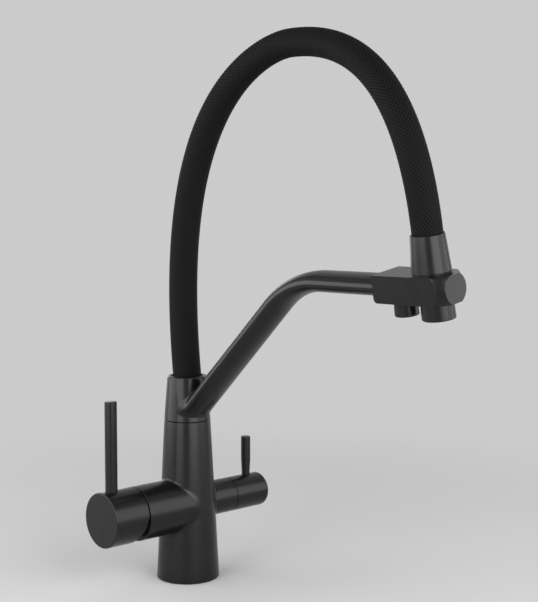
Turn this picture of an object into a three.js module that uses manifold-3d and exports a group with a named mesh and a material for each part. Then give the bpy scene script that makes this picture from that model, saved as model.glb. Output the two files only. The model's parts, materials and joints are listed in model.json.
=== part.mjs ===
// Three way filtered water tap for a kitchen sink: a tapered column with a mixer handle on the
// left and a filter handle on the right, and a turning spout whose rigid arm carries the outlet
// block that a braided hose feeds in a free arch. Millimetres, +Z up. The origin is the centre of
// the base on the worktop, the spout points to -Y, the mixer handle to -X, the filter one to +X.

import * as THREE from "three";
import { mergeVertices } from "three/addons/utils/BufferGeometryUtils.js";
import Module from "manifold-3d";

const wasm = await Module();
wasm.setup();

// ---------------------------------------------------------------- driving dimensions

const fitGap = 0.3; // clearance between two pieces that seat on each other
const slimGap = 0.15; // an O-ring's clearance in its bore
const past = 1; // how far a cutting tool runs past the face that it opens

// column
const baseRadius = 25;
const baseEdge = 0.8;
const columnHeight = 126.9;
const columnTopRadius = 18.4;
const jointLine = 0.4; // open line between the column and the collar
const gasketInner = 19.9;
const gasketOuter = 23.1;
const gasketThickness = 1.7;
const portRadius = 5.2;
const portCircle = 10.8;
const portDepth = 14;
const portAngles = [90, 210, 330]; // hot, cold and filtered inlets
const studRadius = 2.5;
const studCircle = 15;
const studDepth = 12;
const studAngles = [30, 150];

// swivel
const collarLength = 35.6;
const collarTop = columnHeight + collarLength;
const collarTopRadius = 15.8; // the collar narrows faster than the column
const collarEdge = 2;
const hoseBore = 12.6; // recess in the collar's top, round the hose
const hoseBoreDepth = 21.5;
const collarWeb = 4.7;
const webBore = 8.2;
const spigotRadius = 11.5;
const spigotDepth = 29.3; // below the column's top
const ringSection = 1.05; // radius of an O-ring's section
const ringGrooveDepth = 2.2;
const ringGrooveWidth = 3.2;
const ringDepths = [24.9, 19.9, 7.4]; // below the column's top
const ringHeights = ringDepths.map((depth) => columnHeight - depth);
const screwDepth = 13.7; // below the column's top
const screwHeight = columnHeight - screwDepth;
const screwRadius = 1.9;
const screwGrooveDepth = 1.5;
const glideInner = 12.2;
const glideOuter = 15.4;
const glideThickness = 1.5;

// spout arm
const armRise = 116.7; // of the arm's level end above the column's top
const armHeight = columnHeight + armRise;
const armIncline = 43.1; // degrees above the horizontal
const armRootDrop = 1.1; // the arm's axis meets the column's this far below its top
const armRootHeight = columnHeight - armRootDrop;
const armBend = 70;
// the arm is oval: half its width and half its thickness, at the collar, the bend and the block
const armRoot = [13.5, 7.8];
const armMiddle = [12.8, 7.8];
const armEnd = [12.5, 7.3];
const armSeat = 1.2; // how deep the arm's end is let into the collar's wall
const armFillet = 2.6;
const armPlugRadius = 6;
const armPlugLength = 7;

// outlet block
const blockRear = 210;
const blockLength = 58;
const blockFront = blockRear + blockLength;
const blockHalfWidth = 14;
const blockHalfHeight = 9.3;
const blockRoll = 10.9; // degrees, the block's top leans to the left about the arm
const turnedDisc = 10.4; // radius of the flat end disc
const turnedRadius = 17; // radius of the turned body behind it
const turnedLength = 9.7;
const turnedBow = 0.8; // how far the turned shoulder bows out
const rearRound = 3;

// hose and its ends
const hoseRadius = 11.2; // on the rear leg
const hoseEndRadius = 10.1; // the braid is drawn tighter over the crown and down to the block
const hoseDrawStart = 200; // along the hose from the collar
const hoseDrawEnd = 330;
const hoseWall = 1.4;
const hoseInset = 18; // from the block's front to the hose's axis
const hoseSeat = blockFront - hoseInset;
const hoseRootLean = 7.4; // degrees, the hose leaves the collar leaning back
const hoseRootHandle = 228;
const crownReach = 117.5;
const crownRise = 167.1; // of the hose's highest point above the arm
const crownHeight = armHeight + crownRise;
const crownHandleBack = 22.5;
const crownHandleFront = 70;
const hoseEndHandle = 91;
const ferruleTopRadius = 11.45;
const ferruleBottomRadius = 13.3;
const ferruleTop = 34.8; // above the block's axis
const ferruleBottom = 10.3;
const ferruleEdge = 0.8;
const ferruleWeb = 1.2;
const fittingFlange = 2;
const fittingNeck = 12.5;
const fittingBore = 7.3;
const endSpigotRadius = 7.6;
const endSpigotLength = 5.5;
const hoseSides = 12;
const hoseSteps = 34;
const mixedTubeRadius = 4.1;
const mixedTubeOffset = -2.9;
const filteredTubeRadius = 2.6;
const filteredTubeOffset = 4.3;
const tubeWall = 1.1;
const tubeSocket = 5;

// outlets under the block
const mixedDrop = 20.3; // below the block's axis
const mixedInset = 16.2; // from the block's front
const mixedReach = blockFront - mixedInset;
const mixedNozzleRadius = 11.3;
const mixedPocket = 9.2;
const mixedStub = 7.7;
const filteredDrop = 19.6;
const filteredInset = 15.3; // from the block's rear
const filteredReach = blockRear + filteredInset;
const filteredNozzleRadius = 8.4;
const filteredPocket = 6.5;
const filteredStub = 4.8;
const nozzleEdge = 0.9;
const pocketDepth = 8.3;
const stubLength = 5.3;
const washerThickness = 1;
const insertRecess = 0.6;

// handles, measured from the column's axis
const handleHeight = 59.3;
const mixerRadius = 21.1;
const mixerBossEnd = 52.5;
const mixerGap = 1;
const mixerHubEnd = 83.6;
const mixerHubWall = 2.5;
const mixerHubFloor = 66;
const mixerTilt = 20; // degrees of lift, which the relief leaves room for
const reliefHeight = 3; // the relief starts this far above the handle's axis
const handleEdge = 0.6;
const mixerLeverRadius = 4.7;
const mixerLeverStub = 3.2;
const mixerLeverReach = 74;
const mixerLeverTop = 149.2;

const filterRadius = 13.8;
const filterBossEnd = 41.5;
const filterGap = 0.4;
const filterHubEnd = 76.4;
const bossFillet = 1.5;
const filterHubWall = 2.6;
const filterHubFloor = 58;
const filterEndRound = 2.75;
const filterLeverRadius = 3.9;
const filterLeverRootRadius = 3.3;
const filterLeverStub = 2.2;
const filterLeverReach = 62;
const filterLeverTop = 105.4;
const filterLeverTaper = 14; // the lever narrows over this length above the hub

// mixing cartridge, along the handle's axis from the column's axis
const cartridgeRadius = 17.5;
const cartridgeSeat = 25.1;
const cartridgeBase = 4;
const cartridgeInner = 13.8;
const cartridgeEnd = 44.2;
const sealThickness = 1.6;
const sealBore = 12;
const cartridgePortCircle = 8; // radius on which the cartridge's three ports lie
const discThickness = 3.2;
const movingThickness = 2.6;
const movingRadius = 10.6;
const discClearance = 0.2;
const carrierThickness = 4.4;
const carrierFlat = 7.2;
const discOffset = 1.3; // the moving disc's shift in the closed position
const pivotRise = 2.9; // of the stem's pivot above the rotor's shoulder
const ballRadius = 2.1;
const ballDepth = 1.2; // of the ball's middle below the carrier's top
const rotorFlange = 13.3;
const rotorNeck = 10.7;
const rotorFlangeLength = 3.4;
const rotorCrown = 3.8; // from the pivot to the rotor's end
const lugOuter = 9.8;
const capThickness = 2.7;
const nutThread = 17.5;
const nutBore = 12.4;
const nutNeck = 14.4;
const nutRim = 2.3; // of the nut beyond the boss
const coverRadius = 16.6;
const coverFlange = 17.4; // its foot, which hides the nut in the boss's mouth
const coverFlangeThickness = 0.6;
const coverRise = 3.5; // of the cover ring beyond the boss
const coverLip = 0.9;
const coverRound = 1.6;
const stemHalf = 4;
const stemSlot = 4.3; // half the width of the rotor's slot
const stemEnd = 77.5;
const pinRadius = 1.5;
const pinHalfLength = 9.8;

// quarter turn headwork, along the filter handle's axis from the column's axis
const headworkThread = 10.1;
const headworkSeat = 19.3;
const headworkStart = 22;
const headworkCup = 8.3;
const headworkCupEnd = 32;
const headworkShoulder = 46;
const headworkHead = 10.8;
const headworkNeck = 6.8;
const headworkEnd = 54;
const quarterDiscRadius = 8;
const quarterDiscThickness = 3;
const spindleRadius = 3.9;
const spindleFoot = 2.6;
const spindleEnd = 67.5;
const spindleRingReach = 50;
const spindleRingSection = 0.8;

// small screws that hold the handles
const handleScrewRadius = 2;
const handleScrewLength = 6;
const screwPlugDepth = 1.6;
const mixerScrewReach = 73;
const filterScrewReach = 63;

// facets round a full turn
const fine = 36;
const medium = 24;
const coarse = 16;
const small = 10;

// ---------------------------------------------------------------- shapes

const rad = THREE.MathUtils.degToRad;
const slope = (baseRadius - columnTopRadius) / columnHeight;
const coneRadius = (z) => baseRadius - slope * z;
const collarSlope = (columnTopRadius - collarTopRadius) / (collarTop - columnHeight);
const collarRadius = (z) => columnTopRadius - collarSlope * (z - columnHeight);

// A closed mesh as a solid, and back.
function solid(geometry) {
  const bare = geometry.clone();
  bare.deleteAttribute("normal");
  bare.deleteAttribute("uv");
  const merged = mergeVertices(bare, 1e-4);
  const mesh = new wasm.Mesh({
    numProp: 3,
    vertProperties: merged.attributes.position.array,
    triVerts: new Uint32Array(merged.index.array),
  });
  return new wasm.Manifold(mesh);
}

function toGeometry(manifold) {
  const mesh = manifold.getMesh();
  const geometry = new THREE.BufferGeometry();
  geometry.setAttribute("position", new THREE.BufferAttribute(mesh.vertProperties, 3));
  geometry.setIndex(new THREE.BufferAttribute(mesh.triVerts, 1));
  const flat = geometry.toNonIndexed();
  flat.computeVertexNormals();
  return flat;
}

const cut = (body, ...tools) =>
  toGeometry(tools.reduce((rest, tool) => rest.subtract(solid(tool)), solid(body)));

const join = (...bodies) =>
  toGeometry(bodies.map(solid).reduce((whole, next) => whole.add(next)));

// A profile of [radius, height] points turned about Z. It runs up the outside and ends on the
// axis, or closes on itself round a ring.
function turned(profile, facets = medium) {
  const points = profile.map(([r, z]) => new THREE.Vector2(r, z));
  return new THREE.LatheGeometry(points, facets).rotateX(Math.PI / 2);
}

const rod = (radius, from, to, facets = coarse) =>
  turned(
    [
      [0, from],
      [radius, from],
      [radius, to],
      [0, to],
    ],
    facets,
  );

const tube = (outer, inner, from, to, facets = medium) =>
  turned(
    [
      [inner, from],
      [outer, from],
      [outer, to],
      [inner, to],
      [inner, from],
    ],
    facets,
  );

function ring(major, minor, height) {
  return new THREE.TorusGeometry(major, minor, 5, coarse).translate(0, 0, height);
}

// An arc in a turned profile, from one angle to another.
function arc(r, z, radius, from, to, steps = 4) {
  const points = [];
  for (let i = 0; i <= steps; i++) {
    const angle = rad(from + ((to - from) * i) / steps);
    points.push([r + radius * Math.cos(angle), z + radius * Math.sin(angle)]);
  }
  return points;
}

const block = (x0, x1, y0, y1, z0, z1) =>
  new THREE.BoxGeometry(x1 - x0, y1 - y0, z1 - z0).translate(
    (x0 + x1) / 2,
    (y0 + y1) / 2,
    (z0 + z1) / 2,
  );

// Turns a shape made along +Z so that its axis lies across, the upper side staying up.
const toLeft = (geometry) => geometry.rotateY(-Math.PI / 2).translate(0, 0, handleHeight);
const toRight = (geometry) =>
  geometry.rotateZ(Math.PI).rotateY(Math.PI / 2).translate(0, 0, handleHeight);

// In a handle's own frame +Z runs outward and +X is up: an upright shape at a reach along it.
const upright = (geometry, reach) => geometry.rotateY(Math.PI / 2).translate(0, 0, reach);

// An oval bar along a path of frames, each with a centre, two directions and the half sizes.
function loft(frames, sides) {
  const positions = [];
  const index = [];
  for (const { centre, across, over, half } of frames)
    for (let k = 0; k < sides; k++) {
      const angle = (2 * Math.PI * k) / sides;
      const point = centre
        .clone()
        .addScaledVector(across, half[0] * Math.cos(angle))
        .addScaledVector(over, half[1] * Math.sin(angle));
      positions.push(point.x, point.y, point.z);
    }
  const rings = frames.length;
  for (let i = 0; i + 1 < rings; i++)
    for (let k = 0; k < sides; k++) {
      const next = (k + 1) % sides;
      const [a, b] = [i * sides + k, i * sides + next];
      index.push(a, b, b + sides, a, b + sides, a + sides);
    }
  for (let k = 1; k + 1 < sides; k++) {
    const last = (rings - 1) * sides;
    index.push(0, k + 1, k, last, last + k, last + k + 1);
  }
  const geometry = new THREE.BufferGeometry();
  geometry.setAttribute("position", new THREE.Float32BufferAttribute(positions, 3));
  geometry.setIndex(index);
  return geometry;
}

// The fillet where a round or oval branch leaves a cone, which is given by its radius at a height:
// a band round the branch whose hollow face runs from the branch to the cone, narrower where it
// would pass below the foot. The branch's half sizes are given, and every radius below is how far
// a point lies outside it.
function saddleFillet({ cone, origin, along, across, half, width, lip, foot, steps }) {
  const over = new THREE.Vector3().crossVectors(along, across);
  const buried = 2.5;
  const at = (angle, r, t) =>
    origin
      .clone()
      .addScaledVector(across, (half[0] + r) * Math.cos(angle))
      .addScaledVector(over, (half[1] + r) * Math.sin(angle))
      .addScaledVector(along, t);
  // where a line along the branch leaves the cone
  function leaving(angle, r) {
    let low = 0;
    let high = 2 * baseRadius;
    for (let i = 0; i < 40; i++) {
      const middle = (low + high) / 2;
      const point = at(angle, r, middle);
      if (Math.hypot(point.x, point.y) < cone(point.z)) low = middle;
      else high = middle;
    }
    return low;
  }
  // the point moved level toward the column's axis, into its wall
  function bury(point) {
    const share = 1 - buried / Math.hypot(point.x, point.y);
    return new THREE.Vector3(point.x * share, point.y * share, point.z);
  }
  const positions = [];
  for (let i = 0; i < steps; i++) {
    const angle = (2 * Math.PI * i) / steps;
    let reach = width;
    while (at(angle, reach, leaving(angle, reach)).z < foot) reach -= 0.1;
    const corner = leaving(angle, 0);
    const landing = leaving(angle, reach);
    const onBranch = at(angle, lip, corner + reach);
    const onCone = at(angle, reach, landing);
    const bow = new THREE.QuadraticBezierCurve3(onBranch, at(angle, 0, corner), onCone);
    const section = [
      at(angle, -1, corner + reach),
      onBranch,
      bow.getPoint(1 / 3),
      bow.getPoint(2 / 3),
      onCone,
      bury(onCone),
      bury(at(angle, -1, corner)),
    ];
    for (const point of section) positions.push(point.x, point.y, point.z);
  }
  const count = positions.length / 3 / steps;
  const index = [];
  for (let i = 0; i < steps; i++)
    for (let k = 0; k < count; k++) {
      const here = i * count;
      const next = ((i + 1) % steps) * count;
      const after = (k + 1) % count;
      index.push(here + k, here + after, next + after, here + k, next + after, next + k);
    }
  const geometry = new THREE.BufferGeometry();
  geometry.setAttribute("position", new THREE.Float32BufferAttribute(positions, 3));
  geometry.setIndex(index);
  return geometry;
}

// ---------------------------------------------------------------- finishes

function finish(color, roughness, metalness) {
  return new THREE.MeshStandardMaterial({ color, roughness, metalness });
}
const blackCoat = finish(0x2c2c2d, 0.5, 0.3);
const braid = finish(0x17171a, 0.9, 0);
const brass = finish(0xb08d4a, 0.35, 1);
const steel = finish(0x9a9c9e, 0.3, 1);
const ceramic = finish(0xe8e4da, 0.3, 0);
const rubber = finish(0x202020, 0.8, 0);
const darkPlastic = finish(0x1c1c1e, 0.5, 0);
const palePlastic = finish(0xd9d7cf, 0.5, 0);

const tap = new THREE.Group();
const mixerAxis = new THREE.Group();
mixerAxis.position.z = handleHeight;
mixerAxis.rotation.y = -Math.PI / 2;
const filterAxis = new THREE.Group();
filterAxis.position.z = handleHeight;
filterAxis.rotation.order = "YXZ";
filterAxis.rotation.y = Math.PI / 2;
filterAxis.rotation.z = Math.PI;
const outlet = new THREE.Group();
outlet.position.z = armHeight;
outlet.rotation.y = -rad(blockRoll);
tap.add(mixerAxis, filterAxis, outlet);

function piece(parent, name, geometry, material) {
  const mesh = new THREE.Mesh(geometry, material);
  mesh.name = name;
  parent.add(mesh);
  return mesh;
}

// ---------------------------------------------------------------- column

const swivelBore = spigotRadius + fitGap;
const swivelFloor = columnHeight - spigotDepth - fitGap;
const glideSeat = columnHeight - glideThickness;
const mixerBore = cartridgeRadius + fitGap;
const headworkBore = headworkThread + fitGap;
const gasketGroove = gasketThickness + fitGap;

function columnBody() {
  const barrel = turned(
    [
      [0, 0],
      [baseRadius - baseEdge, 0],
      [coneRadius(baseEdge), baseEdge],
      [columnTopRadius, columnHeight],
      [glideOuter + fitGap, columnHeight],
      [glideOuter + fitGap, glideSeat],
      [swivelBore, glideSeat],
      [swivelBore, swivelFloor],
      [0, swivelFloor],
    ],
    fine,
  );
  const mixerBoss = toLeft(
    turned(
      [
        [0, 0],
        [mixerRadius, 0],
        [mixerRadius, mixerBossEnd - handleEdge],
        [mixerRadius - handleEdge, mixerBossEnd],
        [0, mixerBossEnd],
      ],
      fine,
    ),
  );
  const filterBoss = toRight(rod(filterRadius, 0, filterBossEnd, medium));
  const filterFillet = saddleFillet({
    cone: coneRadius,
    origin: new THREE.Vector3(0, 0, handleHeight),
    along: new THREE.Vector3(1, 0, 0),
    across: new THREE.Vector3(0, 1, 0),
    half: [filterRadius, filterRadius],
    width: bossFillet,
    lip: 0,
    foot: 0,
    steps: medium,
  });
  const holes = [
    toLeft(rod(mixerBore, cartridgeSeat, mixerBossEnd + past, medium)),
    toRight(rod(headworkBore, headworkSeat, filterBossEnd + past, coarse)),
    tube(gasketOuter + fitGap, gasketInner - fitGap, -past, gasketGroove, fine),
  ];
  for (const angle of portAngles)
    holes.push(
      rod(portRadius, -past, portDepth, 12).translate(
        portCircle * Math.cos(rad(angle)),
        portCircle * Math.sin(rad(angle)),
        0,
      ),
    );
  for (const angle of studAngles)
    holes.push(
      rod(studRadius, -past, studDepth, small).translate(
        studCircle * Math.cos(rad(angle)),
        studCircle * Math.sin(rad(angle)),
        0,
      ),
    );
  const screwHole = rod(screwRadius + fitGap, 0, baseRadius, small).rotateX(-Math.PI / 2);
  holes.push(screwHole.translate(0, 0, screwHeight));
  return cut(join(barrel, mixerBoss, filterBoss, filterFillet), ...holes);
}

piece(tap, "body_column", columnBody(), blackCoat);
piece(tap, "base_gasket", tube(gasketOuter, gasketInner, 0, gasketThickness), rubber);
piece(
  tap,
  "swivel_glide_ring",
  tube(glideOuter, glideInner, glideSeat + 0.1, glideSeat + 0.1 + glideThickness),
  palePlastic,
);

// ---------------------------------------------------------------- swivel

const collarFoot = columnHeight + jointLine;
const collarFloor = collarTop - hoseBoreDepth;
const spigotSeat = collarFloor - collarWeb;
const spigotFoot = columnHeight - spigotDepth;
const spigotTop = spigotSeat - fitGap;

const armAlong = new THREE.Vector3(0, -Math.cos(rad(armIncline)), Math.sin(rad(armIncline)));
const armOver = new THREE.Vector3(0, Math.sin(rad(armIncline)), Math.cos(rad(armIncline)));
const armOrigin = new THREE.Vector3(0, 0, armRootHeight);
const acrossTap = new THREE.Vector3(1, 0, 0);

// The collar's cone, thinner by a depth: what the arm's end and its socket are cut to.
const coneCore = (depth) =>
  turned(
    [
      [0, 0],
      [collarRadius(0) - depth, 0],
      [collarTopRadius - depth, collarTop],
      [0, collarTop],
    ],
    fine,
  );

// The arm's root as a straight oval bar, larger all round by a clearance.
function armTool(clearance) {
  const half = armRoot.map((size) => size + clearance);
  const end = armOrigin.clone().addScaledVector(armAlong, 2 * baseRadius);
  return loft(
    [armOrigin, end].map((centre) => ({ centre, across: acrossTap, over: armOver, half })),
    fine,
  );
}

function collarBody() {
  const shoulder = collarRadius(collarTop - collarEdge) - collarEdge;
  const shell = turned(
    [
      [swivelBore, collarFoot],
      [collarRadius(collarFoot), collarFoot],
      ...arc(shoulder, collarTop - collarEdge, collarEdge, 0, 90, 3),
      [hoseBore, collarTop],
      [hoseBore, collarFloor],
      [webBore, collarFloor],
      [webBore, spigotSeat],
      [swivelBore, spigotSeat],
      [swivelBore, collarFoot],
    ],
    fine,
  );
  const bead = saddleFillet({
    cone: collarRadius,
    origin: armOrigin,
    along: armAlong,
    across: acrossTap,
    half: armRoot.map((size) => size + fitGap),
    width: armFillet,
    lip: 0.3,
    foot: collarFoot + 0.1,
    steps: 32,
  });
  return cut(join(shell, bead), cut(armTool(fitGap), coneCore(armSeat)));
}

function spigotBody() {
  const groove = (height, width, depth) => [
    [spigotRadius, height - width / 2],
    [spigotRadius - depth, height - width / 2],
    [spigotRadius - depth, height + width / 2],
    [spigotRadius, height + width / 2],
  ];
  const [low, middle, high] = ringHeights;
  const core = turned(
    [
    [0, spigotFoot],
    [spigotRadius, spigotFoot],
    ...groove(low, ringGrooveWidth, ringGrooveDepth),
    ...groove(middle, ringGrooveWidth, ringGrooveDepth),
    ...groove(screwHeight, 2 * screwRadius + 1, screwGrooveDepth),
    ...groove(high, ringGrooveWidth, ringGrooveDepth),
    [spigotRadius, spigotTop],
    [0, spigotTop],
    ],
    coarse,
  );
  const socket = (radius, offset) =>
    rod(radius + fitGap, spigotTop - tubeSocket, spigotTop + past, small).translate(offset, 0, 0);
  return cut(
    core,
    socket(mixedTubeRadius, mixedTubeOffset),
    socket(filteredTubeRadius, filteredTubeOffset),
  );
}

piece(tap, "swivel_collar", collarBody(), blackCoat);
piece(tap, "swivel_spigot", spigotBody(), brass);
const ringMajor = spigotRadius + fitGap - slimGap - ringSection;
["lower", "middle", "upper"].forEach((place, i) => {
  piece(tap, `swivel_o_ring_${place}`, ring(ringMajor, ringSection, ringHeights[i]), rubber);
});
const screwTip = spigotRadius - screwGrooveDepth + fitGap;
const screwHead = coneRadius(screwHeight) - 1;
piece(
  tap,
  "swivel_retaining_screw",
  rod(screwRadius, screwTip, screwHead, small).rotateX(-Math.PI / 2).translate(0, 0, screwHeight),
  steel,
);

// ---------------------------------------------------------------- spout arm

// Frames along the arm: straight up from the collar, round the bend, and level to the block. The
// oval turns with the block's roll over the bend, so that it meets the block square.
function armFrames() {
  const turn = rad(armIncline);
  const rise = armHeight - armRootHeight;
  const corner = rise / Math.tan(turn);
  const tangent = armBend * Math.tan(turn / 2);
  const bendEnd = corner + tangent;
  const frame = (reach, height, angle, roll, half) => {
    const over = new THREE.Vector3(0, Math.sin(angle), Math.cos(angle));
    const along = new THREE.Vector3(0, -Math.cos(angle), Math.sin(angle));
    return {
      centre: new THREE.Vector3(0, -reach, height),
      across: acrossTap.clone().applyAxisAngle(along, roll),
      over: over.applyAxisAngle(along, roll),
      half,
    };
  };
  const frames = [frame(0, armRootHeight, turn, 0, armRoot)];
  const steps = 9;
  for (let i = 0; i <= steps; i++) {
    const share = i / steps;
    const angle = turn * (1 - share);
    const reach = bendEnd - armBend * Math.sin(angle);
    const height = armHeight - armBend * (1 - Math.cos(angle));
    const half = armMiddle.map((size, k) => size + (armEnd[k] - size) * share);
    frames.push(frame(reach, height, angle, rad(blockRoll) * share, half));
  }
  frames.push(frame(blockRear - fitGap, armHeight, 0, rad(blockRoll), armEnd));
  return frames;
}

function armBody() {
  const shaft = loft(armFrames(), medium);
  const plug = rod(armPlugRadius, blockRear - past, blockRear + armPlugLength, coarse)
    .rotateX(Math.PI / 2)
    .translate(0, 0, armHeight);
  return join(cut(shaft, coneCore(armSeat - fitGap)), plug);
}

piece(tap, "spout_arm", armBody(), blackCoat);

// ---------------------------------------------------------------- outlet block

// The block's frame lies on the arm's level axis: X across it, Z through it, Y back to the column.
const onSeat = (geometry, reach) => geometry.translate(0, -reach, 0);

function blockBody() {
  const side = new THREE.Shape();
  side.moveTo(-blockFront, -blockHalfHeight);
  side.lineTo(-blockRear - rearRound, -blockHalfHeight);
  side.absarc(
    -blockRear - rearRound,
    -blockHalfHeight + rearRound,
    rearRound,
    -Math.PI / 2,
    0,
    false,
  );
  side.lineTo(-blockRear, blockHalfHeight);
  side.lineTo(-blockFront, blockHalfHeight);
  const bar = new THREE.ExtrudeGeometry(side, {
    depth: 2 * blockHalfWidth,
    bevelEnabled: false,
    curveSegments: 5,
  });
  bar.translate(0, 0, -blockHalfWidth);
  bar.applyMatrix4(new THREE.Matrix4().set(0, 0, 1, 0, 1, 0, 0, 0, 0, 1, 0, 0, 0, 0, 0, 1));
  const middle = (turnedDisc + turnedRadius) / 2 + turnedBow;
  const bow = new THREE.QuadraticBezierCurve(
    new THREE.Vector2(turnedRadius, blockFront - turnedLength),
    new THREE.Vector2(middle, blockFront - turnedLength / 2 + turnedBow),
    new THREE.Vector2(turnedDisc, blockFront),
  );
  const shoulder = bow.getPoints(4).map((p) => [p.x, p.y]);
  const round = turned(
    [
      [0, blockRear - past],
      [turnedRadius, blockRear - past],
      ...shoulder,
      [0, blockFront],
    ],
    fine,
  ).rotateX(Math.PI / 2);
  const whole = toGeometry(solid(bar).intersect(solid(round)));
  const below = (radius, reach) =>
    onSeat(
      rod(
        radius + fitGap,
        -blockHalfHeight - past,
        -blockHalfHeight + stubLength + fitGap,
        coarse,
      ),
      reach,
    );
  const socketFloor = blockHalfHeight - endSpigotLength - fitGap;
  return cut(
    whole,
    onSeat(rod(endSpigotRadius + fitGap, socketFloor, blockHalfHeight + past), hoseSeat),
    below(mixedStub, mixedReach),
    below(filteredStub, filteredReach),
    rod(armPlugRadius + fitGap, blockRear - past, blockRear + armPlugLength + fitGap, coarse)
      .rotateX(Math.PI / 2),
  );
}

piece(outlet, "outlet_block", blockBody(), blackCoat);

// ---------------------------------------------------------------- hose

const rootFlangeFoot = collarFloor + fitGap;
const sleeveFoot = rootFlangeFoot + fittingFlange + fitGap;
const endFlangeFoot = ferruleBottom + ferruleWeb + fitGap;
const sleeveEnd = endFlangeFoot + fittingFlange + fitGap;
const neckIn = (radius) => (radius - hoseWall) * Math.cos(Math.PI / hoseSides) - fitGap;

// The route: straight up out of the collar, over the crown, and straight down the ferrule, from
// a start height to a height above the block's axis, shifted sideways by an offset.
function hoseRoute(start, finishHeight, offset) {
  const roll = rad(blockRoll);
  const up = new THREE.Vector3(-Math.sin(roll), 0, Math.cos(roll));
  const side = new THREE.Vector3(Math.cos(roll), 0, Math.sin(roll)).multiplyScalar(offset);
  const seat = new THREE.Vector3(0, -hoseSeat, armHeight).add(side);
  const lean = new THREE.Vector3(0, Math.sin(rad(hoseRootLean)), Math.cos(rad(hoseRootLean)));
  const back = new THREE.Vector3(0, 1, 0);
  const root = new THREE.Vector3(offset, 0, start);
  const exit = new THREE.Vector3(offset, 0, collarTop);
  const crown = new THREE.Vector3(offset, -crownReach, crownHeight);
  const mouth = seat.clone().addScaledVector(up, ferruleTop);
  const end = seat.clone().addScaledVector(up, finishHeight);
  const route = new THREE.CurvePath();
  route.add(new THREE.LineCurve3(root, exit));
  route.add(
    new THREE.CubicBezierCurve3(
      exit,
      exit.clone().addScaledVector(lean, hoseRootHandle),
      crown.clone().addScaledVector(back, crownHandleBack),
      crown,
    ),
  );
  route.add(
    new THREE.CubicBezierCurve3(
      crown,
      crown.clone().addScaledVector(back, -crownHandleFront),
      mouth.clone().addScaledVector(up, hoseEndHandle),
      mouth,
    ),
  );
  route.add(new THREE.LineCurve3(mouth, end));
  return route;
}

// A round bar or, with a bore, a tube along a route.
function alongRoute(route, radius, bore, sides, steps) {
  const section = new THREE.Shape();
  const outline = (path, r) => {
    for (let k = 0; k < sides; k++) {
      const angle = (2 * Math.PI * k) / sides;
      const [x, y] = [r * Math.cos(angle), r * Math.sin(angle)];
      if (k === 0) path.moveTo(x, y);
      else path.lineTo(x, y);
    }
    path.closePath();
  };
  outline(section, radius);
  const hole = new THREE.Path();
  outline(hole, bore);
  section.holes.push(hole);
  return new THREE.ExtrudeGeometry(section, { steps, bevelEnabled: false, extrudePath: route });
}

// The braided sleeve: a tube along the whole route, drawn tighter toward its far end.
function sleeve() {
  const route = hoseRoute(sleeveFoot, sleeveEnd, 0);
  const length = route.getLength();
  const { normals, binormals } = route.computeFrenetFrames(hoseSteps, false);
  const positions = [];
  const index = [];
  for (let i = 0; i <= hoseSteps; i++) {
    const share = i / hoseSteps;
    const drawn = THREE.MathUtils.smoothstep(share * length, hoseDrawStart, hoseDrawEnd);
    const outer = hoseRadius + (hoseEndRadius - hoseRadius) * drawn;
    for (const radius of [outer, outer - hoseWall])
      for (let k = 0; k < hoseSides; k++) {
        const angle = (2 * Math.PI * k) / hoseSides;
        const point = route
          .getPointAt(share)
          .addScaledVector(normals[i], radius * Math.cos(angle))
          .addScaledVector(binormals[i], radius * Math.sin(angle));
        positions.push(point.x, point.y, point.z);
      }
  }
  const quad = (a, b, c, d) => index.push(a, b, c, a, c, d);
  const ringStart = (i, inside) => (2 * i + inside) * hoseSides;
  for (let k = 0; k < hoseSides; k++) {
    const next = (k + 1) % hoseSides;
    for (let i = 0; i < hoseSteps; i++) {
      const [here, after] = [ringStart(i, 0), ringStart(i + 1, 0)];
      quad(here + k, here + next, after + next, after + k);
      const [inner, innerAfter] = [ringStart(i, 1), ringStart(i + 1, 1)];
      quad(inner + next, inner + k, innerAfter + k, innerAfter + next);
    }
    const [out, bore] = [ringStart(0, 0), ringStart(0, 1)];
    quad(out + next, out + k, bore + k, bore + next);
    const [farOut, farBore] = [ringStart(hoseSteps, 0), ringStart(hoseSteps, 1)];
    quad(farOut + k, farOut + next, farBore + next, farBore + k);
  }
  const geometry = new THREE.BufferGeometry();
  geometry.setAttribute("position", new THREE.Float32BufferAttribute(positions, 3));
  geometry.setIndex(index);
  return toGeometry(solid(geometry));
}

piece(tap, "hose_sleeve", sleeve(), braid);
const tubeStart = spigotTop - tubeSocket + fitGap;
const tubeEnd = endFlangeFoot - tubeSocket + fitGap;
const waterTube = (radius, offset) =>
  alongRoute(hoseRoute(tubeStart, tubeEnd, offset), radius, radius - tubeWall, 6, 24);
piece(tap, "mixed_water_tube", waterTube(mixedTubeRadius, mixedTubeOffset), palePlastic);
piece(
  tap,
  "filtered_water_tube",
  waterTube(filteredTubeRadius, filteredTubeOffset),
  palePlastic,
);

piece(
  tap,
  "hose_root_fitting",
  turned([
    [fittingBore, rootFlangeFoot],
    [hoseBore - fitGap, rootFlangeFoot],
    [hoseBore - fitGap, rootFlangeFoot + fittingFlange],
    [neckIn(hoseRadius), rootFlangeFoot + fittingFlange],
    [neckIn(hoseRadius), rootFlangeFoot + fittingFlange + fittingNeck],
    [fittingBore, rootFlangeFoot + fittingFlange + fittingNeck],
    [fittingBore, rootFlangeFoot],
  ]),
  steel,
);

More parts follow.
